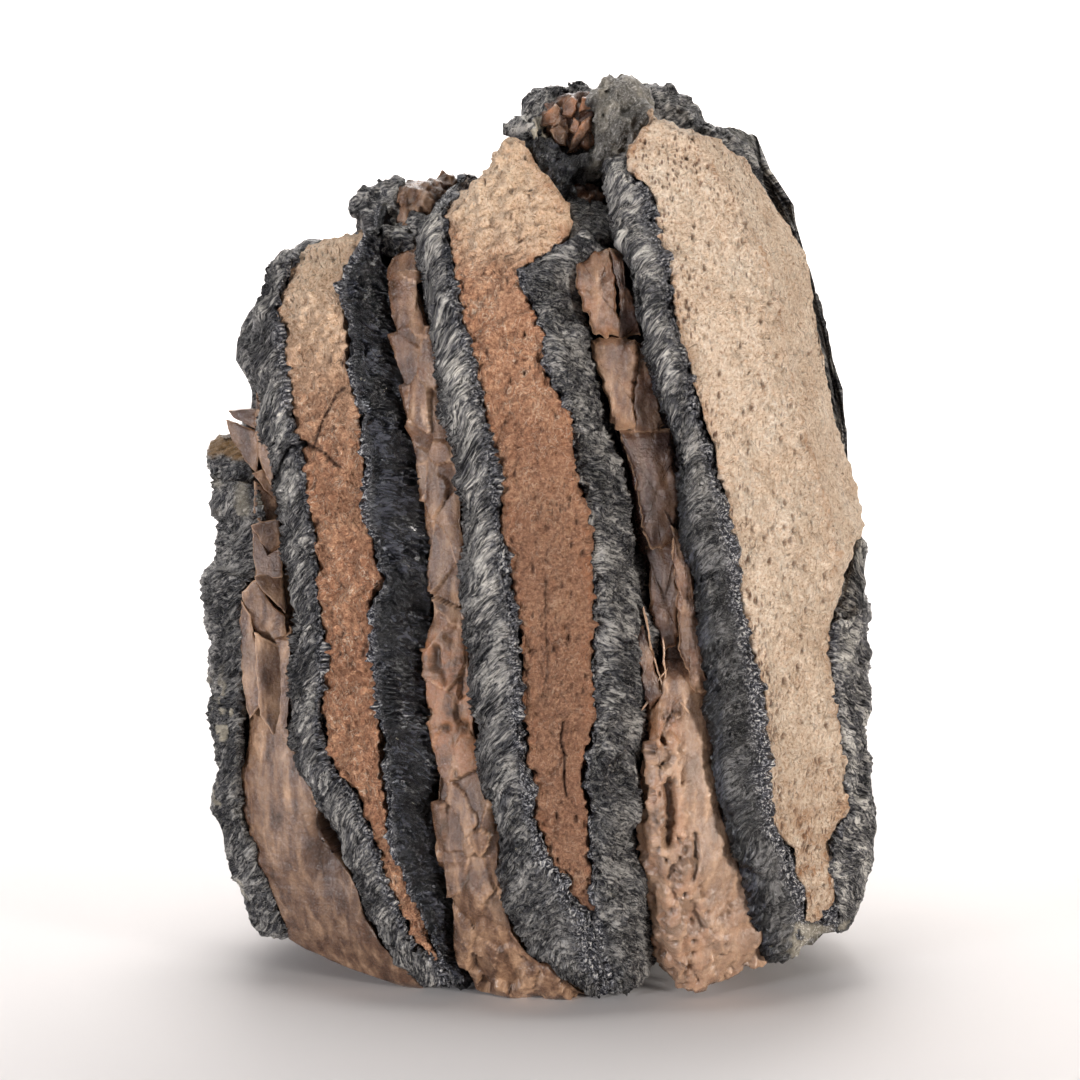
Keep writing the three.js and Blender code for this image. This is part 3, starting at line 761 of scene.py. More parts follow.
# ---- plate 2: enamel pocket and dentine ------------------------------------------------------------
# Two sheets of enamel that close at the bottom, with a strip of tan dentine between them. The left
# sheet shows its broken edge; the right one turns down into the groove beside it.
dentine2_left = wall(
    [(-2, -9.4), (4.5, -11.6), (5.6, -12.6), (9.9, -14.6), (13, -16), (17.5, -17.1), (20.8, -18.3),
     (23, -18.9), (24.7, -20.8), (28.8, -22.5), (34.8, -22.3), (45.7, -22.9), (50.6, -23.2),
     (55.4, -24.1), (59, -25), (64.4, -26.1), (69.3, -26.6), (73.5, -27), (76.3, -25.9), (90, -25)],
    (0, 0, 0.7, 1.8, 3.2, 4.6), seed=9, wobble=0.18)
dentine2_right = wall(
    [(-2, -8.6), (4.5, -10.9), (6.2, -11.7), (10.8, -13), (14.4, -14.3), (19, -16), (24.8, -16.3),
     (29.3, -16.8), (38, -17.3), (43.4, -17.3), (45.3, -16.2), (47.5, -17.2), (53.8, -17.7),
     (58.7, -18.3), (62.8, -18.9), (67.6, -19.8), (72.3, -20), (75.4, -20.3), (79.1, -18.1), (90, -17.3)],
    (0, 0, 0.6, 1, 1.4, 2), seed=12, wobble=0.18)
plate2_right = wall(
    [(-2, -5.4), (0.6, -6.6), (4.2, -8.3), (9.8, -9.4), (14.3, -10.3), (19.5, -11), (28.2, -11.5),
     (33.8, -12.2), (42.2, -11.6), (48, -11.9), (54.9, -12.4), (59.8, -13.4), (65.6, -14.5),
     (70.4, -15.3), (74.1, -16), (80, -15.2), (90, -14.2)],
    (0, 0.2, 0.8, 1.2, 1.6, 2.2), seed=15)
CHANNEL = 3.2       # depth of the channel that the dentine lies in
RIGHT_COUNT = 22    # columns across a right-hand sheet


def sloping_crest(shares):
    """The edge of a right-hand sheet: highest beside the dentine and falling away into the groove."""
    return 0.15 + 0.4 * (1 - shares) ** 6 + 3.2 * ramp(shares, 0.3, 1.1)


def pocket(faces, left, right, close, left_count=20, right_crest=sloping_crest,
           left_rise=4.5, right_rise=-1.4, near_right=NEAR, right_dark=0.75):
    """Columns of an enamel pocket: two sheets with a channel between them for the dentine."""
    outer_left, inner_left, inner_right, outer_right = faces
    near = len(NEAR)
    shares = np.linspace(0, 1, left_count)
    depth = np.where(shares < 0.5, even_crest(shares), 0.3 * to_edges(shares, 2))
    columns = [column(outer_left, left, depth[0] + d) for d in NEAR[::-1]]
    columns += [column(x, left, d) for x, d in zip(blends(outer_left, inner_left, shares), depth)]
    fringe = np.concatenate([np.zeros(near), ramp(shares, 0.62, 0.92)])
    rise = np.concatenate([np.zeros(near), left_rise * (1 - (1 - shares) ** 2), np.full(4, left_rise)])
    dark = np.concatenate([np.full(near, 0.8), 0.8 * fade(shares, 0, 0.3)])

    def open_channel(share, shape, depth):
        x_at = blends(inner_left, inner_right, [share])[0]
        y, z = outline(x_at, shape)
        opened = np.where(SIDE == 3, 0, np.where(SIDE == 1, 1, ramp(z, close - 0.6, close + 0.8)))
        return column(x_at, shape, 0.3 + depth * opened)
    for share, shape, extra in ((0.04, left, 0), (0.3, left, 0.6), (0.7, right, 0.6), (0.96, right, 0)):
        columns.append(open_channel(share, shape, CHANNEL + extra))
    shares = np.linspace(0, 1, RIGHT_COUNT)
    depth = right_crest(shares)
    columns += [column(x, right, d) for x, d in zip(blends(inner_right, outer_right, shares), depth)]
    columns += [column(outer_right, right, depth[-1] + d) for d in near_right]
    fringe = np.concatenate([fringe, np.ones(4), fade(shares, 0.02, 0.2), np.zeros(len(near_right))])
    dark = np.concatenate([dark, np.full(4, 0.5), right_dark * ramp(shares, -0.6, 0.6),
                           np.maximum(right_dark, 0.6 * ramp(np.array(near_right), 0.6, 5))])
    rise = np.concatenate([rise, right_rise * shares ** 2, np.full(len(near_right), right_rise)])
    return columns, {"dark": dark, "fringe": fringe, "rise": rise}


def crack(part, path, width, depth, shade=1.0):
    """Opens a crack along a path of (x, z) points in the front of a part, and paints shade into it."""
    points = part.points
    flat = points[:, [0, 2]]
    near = np.full(len(points), 99.0)
    for a, b in zip(np.array(path[:-1]), np.array(path[1:])):
        along = np.clip(((flat - a) @ (b - a)) / ((b - a) @ (b - a)), 0, 1)
        near = np.minimum(near, np.hypot(*(flat - a - along[:, None] * (b - a)).T))
    behind_front = points[:, 1] > 24
    near = near + 0.07 * noise(points, 0.7, 71) + np.where(behind_front, 99, 0)
    open_here = fade(near, 0.25 * width, width)
    # the crack is painted dark by shade: painted shade in it
    raise_mark(part, "pit", shade * open_here)
    part.points[:, 1] += depth * open_here


columns, marks = pocket(
    (plate2_left, dentine2_left, dentine2_right, plate2_right),
    form([(0, 0.6), (30, 0), (48, 0.3), (52, 0), (76, 0.4)], [(5, 76.5), (12, 77.5), (24, 79), (46, 71)],
         slant=0.25, pivot=-27),
    form([(0, 0.8), (41, 0.2), (43, -0.2), (46, 0.2), (76, 0.4)],
         [(5, 79.3), (10, 80.3), (12, 82.5), (20, 83), (30, 80), (46, 74)], slant=-0.3, pivot=-16),
    5.0, right_dark=1.3)
plate_2 = part_of(columns, marks)
raise_mark(plate_2, "dark", 0.3 * fade(plate_2.points[:, 2], 12, 48))
enamel_relief(plate_2, 25, ribs=0.6)
CRACK_LEFT = [(-27.5, 54.8), (-26.9, 56.2), (-26.2, 57.7), (-25.6, 58.5), (-24.8, 58.5)]
CRACK_GAP = [(-24.9, 58.6), (-24.1, 58.8), (-23.2, 58.5)]
CRACK_RIGHT = [(-23.1, 58.4), (-22.5, 58.3), (-22, 57.9), (-21.2, 57.2), (-20.4, 56.6)]
CRACK_UP = [(-23.1, 58.6), (-22.7, 59.9), (-22.2, 61.4), (-21.4, 62.7), (-20.7, 64), (-20, 64.7)]
crack(plate_2, CRACK_LEFT, 0.26, 0.8)
crack(plate_2, CRACK_GAP, 0.4, 1.2)


def dentine_relief(part, seed, coarse=1.0):
    """Grain, crumbs, pits painted dark with shade, and broad waves of dentine."""
    points = part.points
    first, _, number, _ = cells(points * [1, 1, 0.45], 0.55, seed)
    chosen = number > 0.93 - 0.45 * part.fringe
    # pits, sunk below and painted dark: painted shade in them
    pit = np.where(chosen, ramp(0.42 - first, 0, 0.2), 0) * number
    raise_mark(part, "pit", 0.85 * pit)
    crumb = np.maximum(0, noise(points * [0.7, 1, 1.6], 0.75, seed + 4))
    lift = (0.4 * noise(points, 5.5, seed) + 0.22 * noise(points, 1.7, seed + 1)
            + coarse * (0.4 * crumb + 0.25 * noise(points, 0.5, seed + 2)) - 0.35 * pit)
    swell(part, lift)


columns, marks = sheet(
    dentine2_left, dentine2_right,
    form([(4, 1.3), (20, 1.0), (60, 0.9), (74, 1.0), (78, 2.2)],
         [(5, 77.2), (8, 78.2), (12, 79), (20, 79.5), (34, 78), (48, 72)], 4.4, slant=0.28, pivot=-22),
    lambda s: 0.25 * to_edges(s, 4), 30)
marks["stain"] = 0.6 * to_edges(marks["share"], 3)
dentine_2 = part_of(columns, marks)
# paler towards the top: painted light from above
dentine_2.pale = ramp(dentine_2.points[:, 2] + 3 * noise(dentine_2.points, 5, 42), 56, 78)
dentine_relief(dentine_2, 41, coarse=1.35)
crack(dentine_2, CRACK_GAP, 0.4, 1.2)
crack(dentine_2, CRACK_RIGHT, 0.22, 0.4)
crack(dentine_2, CRACK_UP, 0.2, 0.4)
crack(dentine_2, [(-15.6, 24.0), (-15.1, 22.0), (-14.9, 20.0), (-14.4, 18.0)], 0.8, 0.9, 0.75)


# the worn colours are painted light: the paler tint that the top of the dentine takes from the light above
def dentine_finish(name, fresh, worn, edge, pit_colour):
    """Dentine turned to stone: dull and granular like fine sandstone, painted lighter on the crests of its
    grain and darker in its hollows, with small pores painted dark with shade, painted highlights on the rims
    of chips, painted light that makes its top paler, painted shade where it is marked dark, and a warmer
    tint along its edges."""
    made, add, shader = material(name)
    grain = mark_of(add, "grain", "Vector")
    sand = add("TexNoise", Vector=grain, Scale=1 / 0.3, Detail=5.0, Roughness=0.75)
    broad = add("TexNoise", Vector=grain, Scale=1 / 5.0, Detail=3.0, Roughness=0.6)
    # the sand noise also raises the bump below, so the grain is painted lighter on its crests and darker in
    # its hollows: painted light and shade
    mixed = add("Math", broad, 0.3, sand, operation="MULTIPLY_ADD")
    places = (0.5, 0.65, 0.82)
    colour = ramp_colours(add, mixed, list(zip(places, fresh)))
    lit_top_colour = ramp_colours(add, mixed, list(zip(places, worn)))
    # the dark mark lays painted shade over the dentine
    shade = add("Math", mark_of(add, "dark"), 0.44, operation="MULTIPLY")
    rust = add("TexNoise", Vector=grain, Scale=1 / 1.8, Detail=4.0, Roughness=0.65)
    rusty = add("MapRange", Value=rust, From_Min=0.4, From_Max=0.65)
    rusted = add("Math", rusty, mark_of(add, "stain"), operation="MULTIPLY")
    # thin pale lines on the rims of chips, raised in the bump: painted highlights
    chips = streaks(add, grain, (0.9, 0.9, 1.3), Detail=3.0, Roughness=0.55, Distortion=1.0)
    apart = off_middle(add, chips)
    line = add("MapRange", Value=apart, From_Min=0.022, From_Max=0.004)
    kept = add("MapRange", Value=rust, From_Min=0.42, From_Max=0.54, To_Max=0.6)
    fewer = add("Math", mark_of(add, "dark"), -0.7, 1.0, operation="MULTIPLY_ADD")
    left_over = add("Math", kept, fewer, operation="MULTIPLY")
    lines = add("Math", line, left_over, operation="MULTIPLY")
    # pores, sunk in the bump and painted dark: painted shade in them
    pores = add("Mapping", Vector=grain, Rotation=(0, 0.2, 0), Scale=(1 / 0.45, 1 / 0.45, 1 / 1.25))
    pore = add("TexVoronoi", Vector=pores, Scale=1.0)
    mouth = add("MapRange", Value=pore, From_Min=0.33, From_Max=0.18, To_Max=0.9)
    chosen = add("MapRange", Value=broad, From_Min=0.5, From_Max=0.66, To_Max=0.8)
    many = add("Math", chosen, mark_of(add, "fringe"), operation="MAXIMUM")
    mouths = add("Math", mouth, many, operation="MULTIPLY")
    # darkest where the sand is lowest: painted shade in the hollows of the grain
    low = add("MapRange", Value=sand, From_Min=0.4, From_Max=0.33, To_Max=0.55)
    for factor, tint in ((mark_of(add, "pale"), lit_top_colour), (shade, pit_colour), (rusted, edge),
                         (lines, worn[2]), (mouths, pit_colour), (low, pit_colour),
                         (mark_of(add, "pit"), pit_colour)):
        colour = layer_over(add, colour, factor, tint)
    height = sand
    for share, rise in ((-0.2, mouths), (0.25, lines), (1.1, chips), (-2.2, apart)):
        height = add("Math", rise, share, height, operation="MULTIPLY_ADD")
    bump = add("Bump", Strength=1.0, Distance=0.8 * MM, Height=height)
    fill(shader, {"Base Color": colour, "Roughness": 0.68, "IOR": 1.5, "Normal": bump})
    return made


def lump_mesh(balls, blend, voxel, rough, seed, hollows=(), lean=None, dark=0.0):
    """One closed part from overlapping balls, (x, y, z, radius) each, with hollows taken out of them.
    Enamel gives the lean of its fibres."""
    balls = np.array(balls, float)
    margin = 1.5
    low = (balls[:, :3] - balls[:, 3:]).min(0) - margin
    high = (balls[:, :3] + balls[:, 3:]).max(0) + margin
    size = np.ceil((high - low) / voxel).astype(int)
    at = np.stack(np.meshgrid(*[low[k] + voxel * np.arange(size[k]) for k in range(3)], indexing="ij"), -1)

    def outside(ball):
        return np.sqrt(((at - ball[:3]) ** 2).sum(-1)) - ball[3]
    field = sum(np.exp(-outside(ball) / blend) for ball in balls)
    field = -blend * np.log(np.maximum(field, 1e-9))
    for ball in np.array(hollows):
        field = np.maximum(field, -outside(ball))
    number = cells(at, 1.7, seed)[2]
    crest = ridges(at * [1, 1, 0.5], 1.1, seed + 1) - 0.75
    field = field - rough * (0.9 * noise(at, 2.4, seed) + 1.3 * crest + 0.7 * noise(at, 0.6, seed + 2)
                             + 0.9 * (number - 0.5))
    grid = openvdb.FloatGrid(9.0)
    grid.copyFromArray(np.ascontiguousarray(field, dtype=np.float32))
    points, quads = grid.convertToQuads(isovalue=0.0)
    points = low + voxel * points.astype(float)
    marks = {name: np.zeros(len(points)) for name in MARKS}
    marks["dark"] += dark
    grain = points if lean is None else fibres(points, lean, seed + 1)
    return SimpleNamespace(points=points, quads=quads.astype(np.int64)[:, ::-1],
                           tris=np.zeros((0, 3), np.int64), grain=grain.copy(), **marks)


KNOB_BALLS = [
    (-18.2, 15.5, 82.8, 1.3), (-17.5, 15.5, 84, 1.2), (-16.2, 15.5, 84.2, 1.3), (-15.2, 15.5, 85, 1.2),
    (-14.7, 16, 85, 1), (-15.4, 14.8, 83.2, 1.4), (-17.4, 14.4, 81.6, 1.4), (-16, 14, 81, 1.4),
    (-16.5, 18, 82, 2.2), (-14.2, 14, 81.8, 1.3), (-18, 17, 80.5, 1.5), (-15.6, 11, 79.6, 1.5),
    (-14.3, 11.3, 79.4, 1.5), (-13, 11.6, 79.6, 1.5), (-11.9, 11.4, 80.4, 1.4), (-13.2, 13.5, 81, 1.7),
]
knob = lump_mesh(KNOB_BALLS, 0.3, 0.2, 0.45, 85, lean=0.3, dark=0.12)
# the second set of colours, for the pale mark, is painted light on the top of the dentine
tan_dentine = dentine_finish("fossil_dentine_tan", ("#835439", "#b07d5c", "#dfb08a"),
                             ("#b8906c", "#e8c5a2", "#fbe5cb"), "#a5673f", "#4b2e1e")
piece("plate_2_enamel", [plate_2, knob], enamel)
piece("plate_2_dentine", [dentine_2], tan_dentine)

# ---- cement 2: the narrow strip between plates 2 and 3 ---------------------------------------------
# It is flush with the plates near the top, glossy down to its middle, rusty and spongy below that.
plate3_left = wall(
    [(-2, 5.5), (0.2, 4.6), (3.5, 1.4), (5.5, -0.9), (9.9, -3.2), (14.5, -4.1), (20.3, -5.1),
     (24.5, -6.2), (31.3, -7), (39.5, -7.5), (45.3, -8.1), (53, -8.4), (60, -8.8), (62, -9.6),
     (67.8, -10.6), (72.4, -12.1), (76.3, -12.8), (81, -12.4), (84, -11), (86, -9.6), (90, -8)],
    (0, 0.4, 1.4, 1.6, 1, 0.4), seed=18)
columns, marks = sheet(
    plate2_right, plate3_left,
    form([(0, 0.9), (8, 1.0), (16, 1.4), (24, 2.2), (36, 2.8), (52, 2.6), (62, 1.8), (72, 1.4), (78, 2.2)],
         [(6, 77), (9, 78.6), (12, 80.4), (18, 82), (22, 82), (46, 74)], slant=0.15, pivot=-14, ragged=0.6),
    lambda s: 0.25 * to_edges(s, 4) + 0.4 * (1 - s) ** 2, 36)
cement_2 = part_of(columns, marks)
points = cement_2.points
z = points[:, 2]
porous = fade(z, 38, 43) * ramp(z, 22, 28)
cement_2.stain = np.clip(0.9 * porous + 0.25 * ramp(z, 40, 60), 0, 1)
hole = np.maximum(0, noise(points * [1, 1, 0.6], 0.95, 66) - 0.25) * porous
# the holes are sunk below and painted dark: painted shade in them
cement_2.pit = np.clip(1.6 * hole, 0, 0.8)
lift = shatter(cement_2, 3.8, 1.1, 35, 0.9) - 1.1 * hole
darken(cement_2, 0.3 * ramp(z, 42, 60) + 0.25 * noise(points, 2.5, 89))
cement_relief(cement_2, lift)
KNOB_CEMENT = [
    (-13.3, 15.5, 84.6, 1.2), (-12.5, 15, 84.2, 1.2), (-11.5, 15.5, 84.6, 1.1), (-10.6, 16, 84.9, 1.1),
    (-9.6, 17, 85.4, 1), (-8.9, 17.5, 85.2, 0.9), (-13.3, 14.2, 82.8, 1.4), (-12, 14, 83, 1.4),
    (-13.5, 13.6, 81.4, 1.2), (-10.8, 15.5, 83.6, 1.5), (-12, 17, 82.5, 2.2), (-9.5, 18, 83, 2),
]
knob_cement = lump_mesh(KNOB_CEMENT, 0.25, 0.2, 0.5, 87)
knob_cement.dark = 0.35 * ramp(noise(knob_cement.points, 1.3, 88), 0, 0.6)
piece("cement_2", [cement_2, knob_cement], cement)

# ---- plate 3 ---------------------------------------------------------------------------------------
# The middle plate. Its right sheet stands proud in one ropy stretch below the top, and closes the
# valley beside it with a lumpy cup of enamel.
dentine3_left = wall(
    [(-2, 7.2), (4, 5.8), (11.4, 4.4), (13, 3.2), (15, 2.6), (16.4, 0.9), (18.8, 0.3), (23.5, -0.7),
     (27.8, -1.3), (32.6, -1.9), (41.7, -2.4), (46, -3), (51.3, -3.8), (55.7, -4.3), (61.2, -5.2),
     (65.9, -6.1), (70.6, -7.5), (76.9, -8.7), (82.8, -9.3), (90, -9.6)],
    (0, 0.4, 1.2, 1.4, 0.8, 0.2), seed=21, wobble=0.18)
dentine3_right = wall(
    [(-2, 8), (4, 6.6), (11.4, 5.3), (16.7, 4.7), (21, 4.5), (26.8, 4.2), (29, 4.8), (37.8, 4.8),
     (48.5, 4.7), (52.8, 3.9), (56.2, 3.1), (63, 2.3), (65.9, 0.9), (70, 0.2), (73, -1.2), (77.6, -1.4),
     (79.2, 1.4), (82, 2.3), (85, 0.6), (88.7, -1.8), (93, -4)],
    (0, 0, 0, -0.4, -1, -1.6), seed=24, wobble=0.18)
plate3_right = wall(
    [(-2, 12.3), (0, 11.8), (5.2, 11.4), (10.7, 10.4), (16, 9.5), (23.8, 9.3), (27.4, 9.7), (32.3, 10.2),
     (35.4, 10.8), (41.4, 10.7), (44.3, 9.6), (51, 8.4), (57, 7), (61, 6), (65, 5), (70.5, 4.4),
     (74.5, 4), (76.5, 5.4), (81, 6), (84, 4), (88, 1.2), (94, -2)],
    (0, 0, 0, -0.4, -1.2, -1.8), seed=27)
columns, marks = pocket(
    (plate3_left, dentine3_left, dentine3_right, plate3_right),
    form([(0, 0.4), (30, 0), (82, 0.4)], [(5, 81.8), (8, 82.6), (11, 83.4), (14, 85.6), (30, 85), (46, 77)],
         slant=0.4, pivot=-10.5, most=88.2),
    form([(0, 0.5), (20, 0.4), (50, 1.6), (60.6, 2.4), (61.3, 0.2), (80, 0.2)],
         [(4, 78.5), (8, 80), (11, 84), (16, 86), (24, 89), (34, 86), (46, 76)], slant=0.4, pivot=1),
    10.5, right_dark=0.55)
plate_3 = part_of(columns, marks)
height = plate_3.points[:, 2]
raise_mark(plate_3, "dark", ramp(height, 82.4, 83.2) * (plate_3.points[:, 0] < -3))
raise_mark(plate_3, "dark", 0.6 * fade(height, 18, 62))
enamel_relief(plate_3, 29)
columns, marks = sheet(
    dentine3_left, dentine3_right,
    form([(8, 1.6), (22, 1.0), (60, 0.9), (84, 0.8)],
         [(5, 85.4), (9, 86.3), (16, 86.6), (30, 84), (48, 76)], 9.6,
         slant=1.0, pivot=-6, most=89.6, at=88),
    lambda s: 0.25 * to_edges(s, 4), 38)
marks["stain"] = 0.6 * to_edges(marks["share"], 3)
dentine_3 = part_of(columns, marks)
# paler towards the top, painted light from above, and darker towards the bottom, painted shade
dentine_3.pale = ramp(dentine_3.points[:, 2] + 3 * noise(dentine_3.points, 4, 45), 72, 85)
dentine_3.dark = fade(dentine_3.points[:, 2], 48, 70)
dentine_relief(dentine_3, 43, coarse=1.35)
crack(dentine_3, [(2.3, 31.2), (2.1, 29.5), (2.5, 27.5), (2.4, 25.5), (2.7, 23.6)], 0.2, 0.4)
crack(dentine_3, [(0.6, 46), (0.5, 42), (0.8, 38), (0.6, 35)], 0.13, 0.2, 0.6)


CUP_BALLS = [
    (-1.7, 13, 91, 1.4), (-1.4, 12.4, 89.6, 1.4), (-0.6, 12, 88.2, 1.4), (0.2, 11.6, 86.9, 1.4),
    (1, 11.2, 85.7, 1.4), (1.9, 11, 84.4, 1.4), (-0.4, 17.5, 92.2, 1.6), (0.6, 19, 93.3, 1.9),
    (2.2, 20, 93.6, 1.9), (4.4, 20.5, 93.7, 1.9), (6.6, 15.5, 93.6, 2), (8.4, 15.5, 93.9, 2.1),
    (9.7, 15, 93, 2.1), (9.9, 14, 91.4, 2.1), (9, 13.5, 89.9, 2.1), (7.4, 14.5, 91.8, 1.9),
    (6.8, 14, 89.6, 1.8), (5.4, 13.5, 88.3, 1.6), (4, 13.5, 87.2, 1.7), (2.6, 13.2, 86.6, 1.7),
    (1.2, 14.5, 88.6, 1.8), (3, 16, 87.6, 2.4), (6.2, 18, 88, 3.2), (8, 19, 90, 3.4), (1, 18, 88.5, 3.2),
    (4, 20.5, 88, 3.8), (5, 21, 91, 3),
]
CUP_HOLLOWS = [
    (2.7, 13.7, 92.3, 2.9), (4.2, 12.9, 90.4, 2),
]
cup = lump_mesh(CUP_BALLS, 0.5, 0.21, 0.55, 73, hollows=CUP_HOLLOWS, lean=1.1)
points = cup.points
x, _, z = points.T
cup.fringe = 0.7 * ramp(x + 0.8 * noise(points, 1.6, 75), 4.6, 6.2)
cup.pale = cup.fringe * (0.3 + 0.35 * ramp(noise(points, 1.3, 53), 0.0, 0.5))
# darker round the hollows and below them, and lighter again on the rim: painted shade
cup.dark = fade(x, 3.0, 7.0) * (1 - 0.8 * ramp(z, 89.5, 92.0))
patch_of_cream = 1.15 - np.hypot(x - 0.3, z - 91.2)
cup.pale += 0.85 * ramp(patch_of_cream + 1.1 * noise(points, 0.6, 78), 0.2, 0.4)
SADDLE_BALLS = [
    (2.9, 7.5, 79.2, 1.3), (4.2, 7.8, 79.9, 1.5), (5.6, 8.2, 80.6, 1.5), (6.6, 9, 80.2, 1.4),
    (5.2, 8.6, 78.9, 1.5), (3.4, 9.5, 80.6, 1.6), (6.4, 10.5, 81.6, 1.6),
]
saddle = lump_mesh(SADDLE_BALLS, 0.5, 0.2, 0.4, 76, lean=-0.6, dark=0.5)
piece("plate_3_enamel", [plate_3, cup, saddle], enamel)
piece("plate_3_dentine", [dentine_3], tan_dentine)

# ---- cement 3: between plates 3 and 4 --------------------------------------------------------------
# A spongy mass below that is smooth along its right side, a net of thin splinters over it, three
# broken blocks above, and what is left of the filling in the cup.
plate4_left = wall(
    [(-2, 22.5), (4.8, 23.5), (7.9, 22.3), (11.9, 21.6), (18.3, 19.4), (23.6, 17.6), (32, 17),
     (37.6, 16.5), (44.3, 15.4), (51, 14), (59.8, 12.8), (63, 12), (70.6, 10), (76.2, 8.4), (82.3, 6.6),
     (86, 6), (90, 6.4)],
    (0, 0, -0.6, -1.6, -2.8, -4), seed=30)
columns, marks = sheet(
    plate3_right, plate4_left,
    form([(2, 1.2), (20, 2.0), (32, 2.4), (35, 3.2), (37, 4.8), (60, 5.4), (78, 7)],
         [(8, 77), (12, 81), (15, 84), (24, 87), (32, 84), (44, 76)]),
    lambda s: 0.6 * to_edges(s, 4) + 2.6 * fade(s, 0.02, 0.28), 52)
cement_3 = part_of(columns, marks)
points = cement_3.points
z = points[:, 2]
lower = fade(z, 31, 34)
spongy = fade(cement_3.share, 0.5, 0.68) * lower + 0.5 * fade(z, 9, 14)
spongy = np.clip(spongy, 0, 1)
first, _, number, _ = cells(points * [1, 1, 0.75], 0.85, 67)
hole = np.where(number > 0.55, ramp(0.44 - first, 0, 0.18), 0) * number * spongy
facets = shatter(cement_3, 1.9, 1.1, 68, 0.9 * np.clip(spongy + 0.25 * lower, 0, 1), rim=0.04)
# the holes are sunk below and painted dark: painted shade in them
cement_3.pit = 0.6 * hole
cement_3.stain = 0.6 * spongy
cement_3.pale = 0.3 * lower * fade(z, 26, 30)
# dark above 37 mm, where it lies deep behind the blocks: painted shade
cement_3.dark = np.maximum(0.7 * cement_3.dark, ramp(z, 34, 37))
worn = 0.12 * (1 - spongy) * lower * ramp(noise(points * [1, 1, 0.3], 2.0, 72), -0.4, 0.3)
raise_mark(cement_3, "pale", worn)
cement_relief(cement_3, 0.5 * noise(points, 4.0, 69) + facets - 0.6 * hole, waves=0.2)
crack(cement_3, [(13.1, 24.2), (13.4, 22.7), (13.3, 20.6), (13.1, 18.3)], 0.8, 1.1, 0.55)
crack(cement_3, [(15.9, 19), (16.1, 17.4), (15.8, 14.3)], 0.4, 0.6, 0.5)
BLOCKS = [
    ([(3.6, 77.5), (4.4, 78.2), (5.5, 78.8), (6.9, 79.1), (7.4, 77.8), (7.7, 75), (7.9, 72.4),
      (8.1, 70.2), (6.6, 69.9), (5.5, 70.2), (5, 71.3), (4.3, 73.3), (3.8, 75.3)], 3.6, (0.2, 0.12), 0.7),
    ([(7, 78.9), (7.9, 78.8), (8.4, 77.4), (9.1, 74.8), (9.8, 72), (10.3, 70.2), (8.1, 70), (7.9, 73),
      (7.4, 76.5)], 4.4, (0.4, 0.1), 0.4),
    ([(5, 69.9), (6.2, 70), (8, 70), (9.6, 69.8), (10.2, 68), (9.4, 64.2), (9.6, 60.8), (7.7, 60.5),
      (7.3, 61.7), (6.6, 64.2), (5.9, 66.7), (5.3, 68.3)], 4, (-0.1, -0.02), 0.5),
    ([(9.5, 69.6), (10.3, 69.5), (11.2, 65.9), (12, 63.7), (12.5, 61.2), (11.9, 60.3), (9.7, 60.4),
      (9.3, 64), (9.9, 67)], 4.6, (0.25, 0.03), 0.3),
    ([(8, 60.6), (11.6, 60.8), (13.2, 60.5), (13.8, 56.5), (14.2, 53.5), (14.3, 51.4), (13.6, 49.2),
      (12.6, 48.4), (11.2, 48.6), (10.5, 50.4), (10.2, 52.5), (9.7, 55.5), (9.1, 58.1)],
     4.8, (0.1, 0.02), 0.4),
    ([(10.9, 48.8), (13.5, 49.4), (14.4, 43.2), (13.9, 38.2), (12.7, 37.9), (11.7, 40.8), (11, 44.3)],
     5, (-0.1, 0.04), 0.4),
    ([(13.3, 51), (14.4, 50.1), (15.8, 43.4), (16.7, 39.3), (17.3, 33.8), (15.7, 33.5), (14.6, 37.2),
      (13.8, 43.4)], 3.6, (0.2, 0), 0.2),
    ([(9.8, 40.2), (10.8, 40.4), (11.8, 36), (12.4, 33.2), (11.2, 32.2), (10.2, 35.5)],
     3.6, (0.1, 0.05), 0.2),
]
# the darkness of each block, partly its own tone and partly painted shade where plate 4's left sheet
# shades it, and the rust of each block
BLOCK_DARK = (0.1, 0.75, 0.15, 0.7, 0.75, 0.85, 0.6, 0.65)
BLOCK_RUST = (0.35, 0.4, 0.2, 0.2, 0.3, 0.2, 0.4, 0.3)
blocks = []
for k, (corners, front, tilt, bow) in enumerate(BLOCKS):
    block = chunk(corners, front, tilt, thick=4.0, bow=bow, seed=k + 20, bevel=0.8, ragged=0.3, ripple=0.14)
    points = block.points
    darken(block, BLOCK_DARK[k] + 0.45 * noise(points, 1.8, 99))
    block.stain = np.full(len(points), BLOCK_RUST[k])
    cement_relief(block, 0.12 * noise(points * [1, 1, 0.3], 0.9, 70), waves=0.14)
    blocks.append(block)
SPLINTERS = [
    ((10.6, 42.5), (11.4, 37.6), 0.16), ((11.4, 37.6), (12.9, 33.6), 0.14), ((12.9, 33.6), (12.7, 36), 0.12),
    ((12.7, 36), (12.6, 39.2), 0.14), ((11.2, 34.2), (12.8, 36.2), 0.12), ((11.1, 33.6), (13, 34.3), 0.13),
    ((12.9, 34.4), (15.2, 31.8), 0.16), ((15, 40.8), (15.9, 41.6), 0.12), ((10.4, 32.2), (11.4, 33.6), 0.15),
]
splinters = []
for k, ((x0, z0), (x1, z1), half) in enumerate(SPLINTERS):
    along = np.array([x1 - x0, z1 - z0]) / math.hypot(x1 - x0, z1 - z0)
    aside = np.array([-along[1], along[0]]) * half * 0.6
    a, b = np.array([x0, z0]), np.array([x1, z1])
    tip = 0.3 * along
    splinter = chunk([a - aside, b - aside, b + tip, b + aside, a + aside, a - tip], 4.0, thick=1.4, seed=k)
    # pale all over: painted highlights along these thin splinters
    splinter.fringe[:] = 0.5
    splinter.dark[:] = 0.3
    splinters.append(splinter)
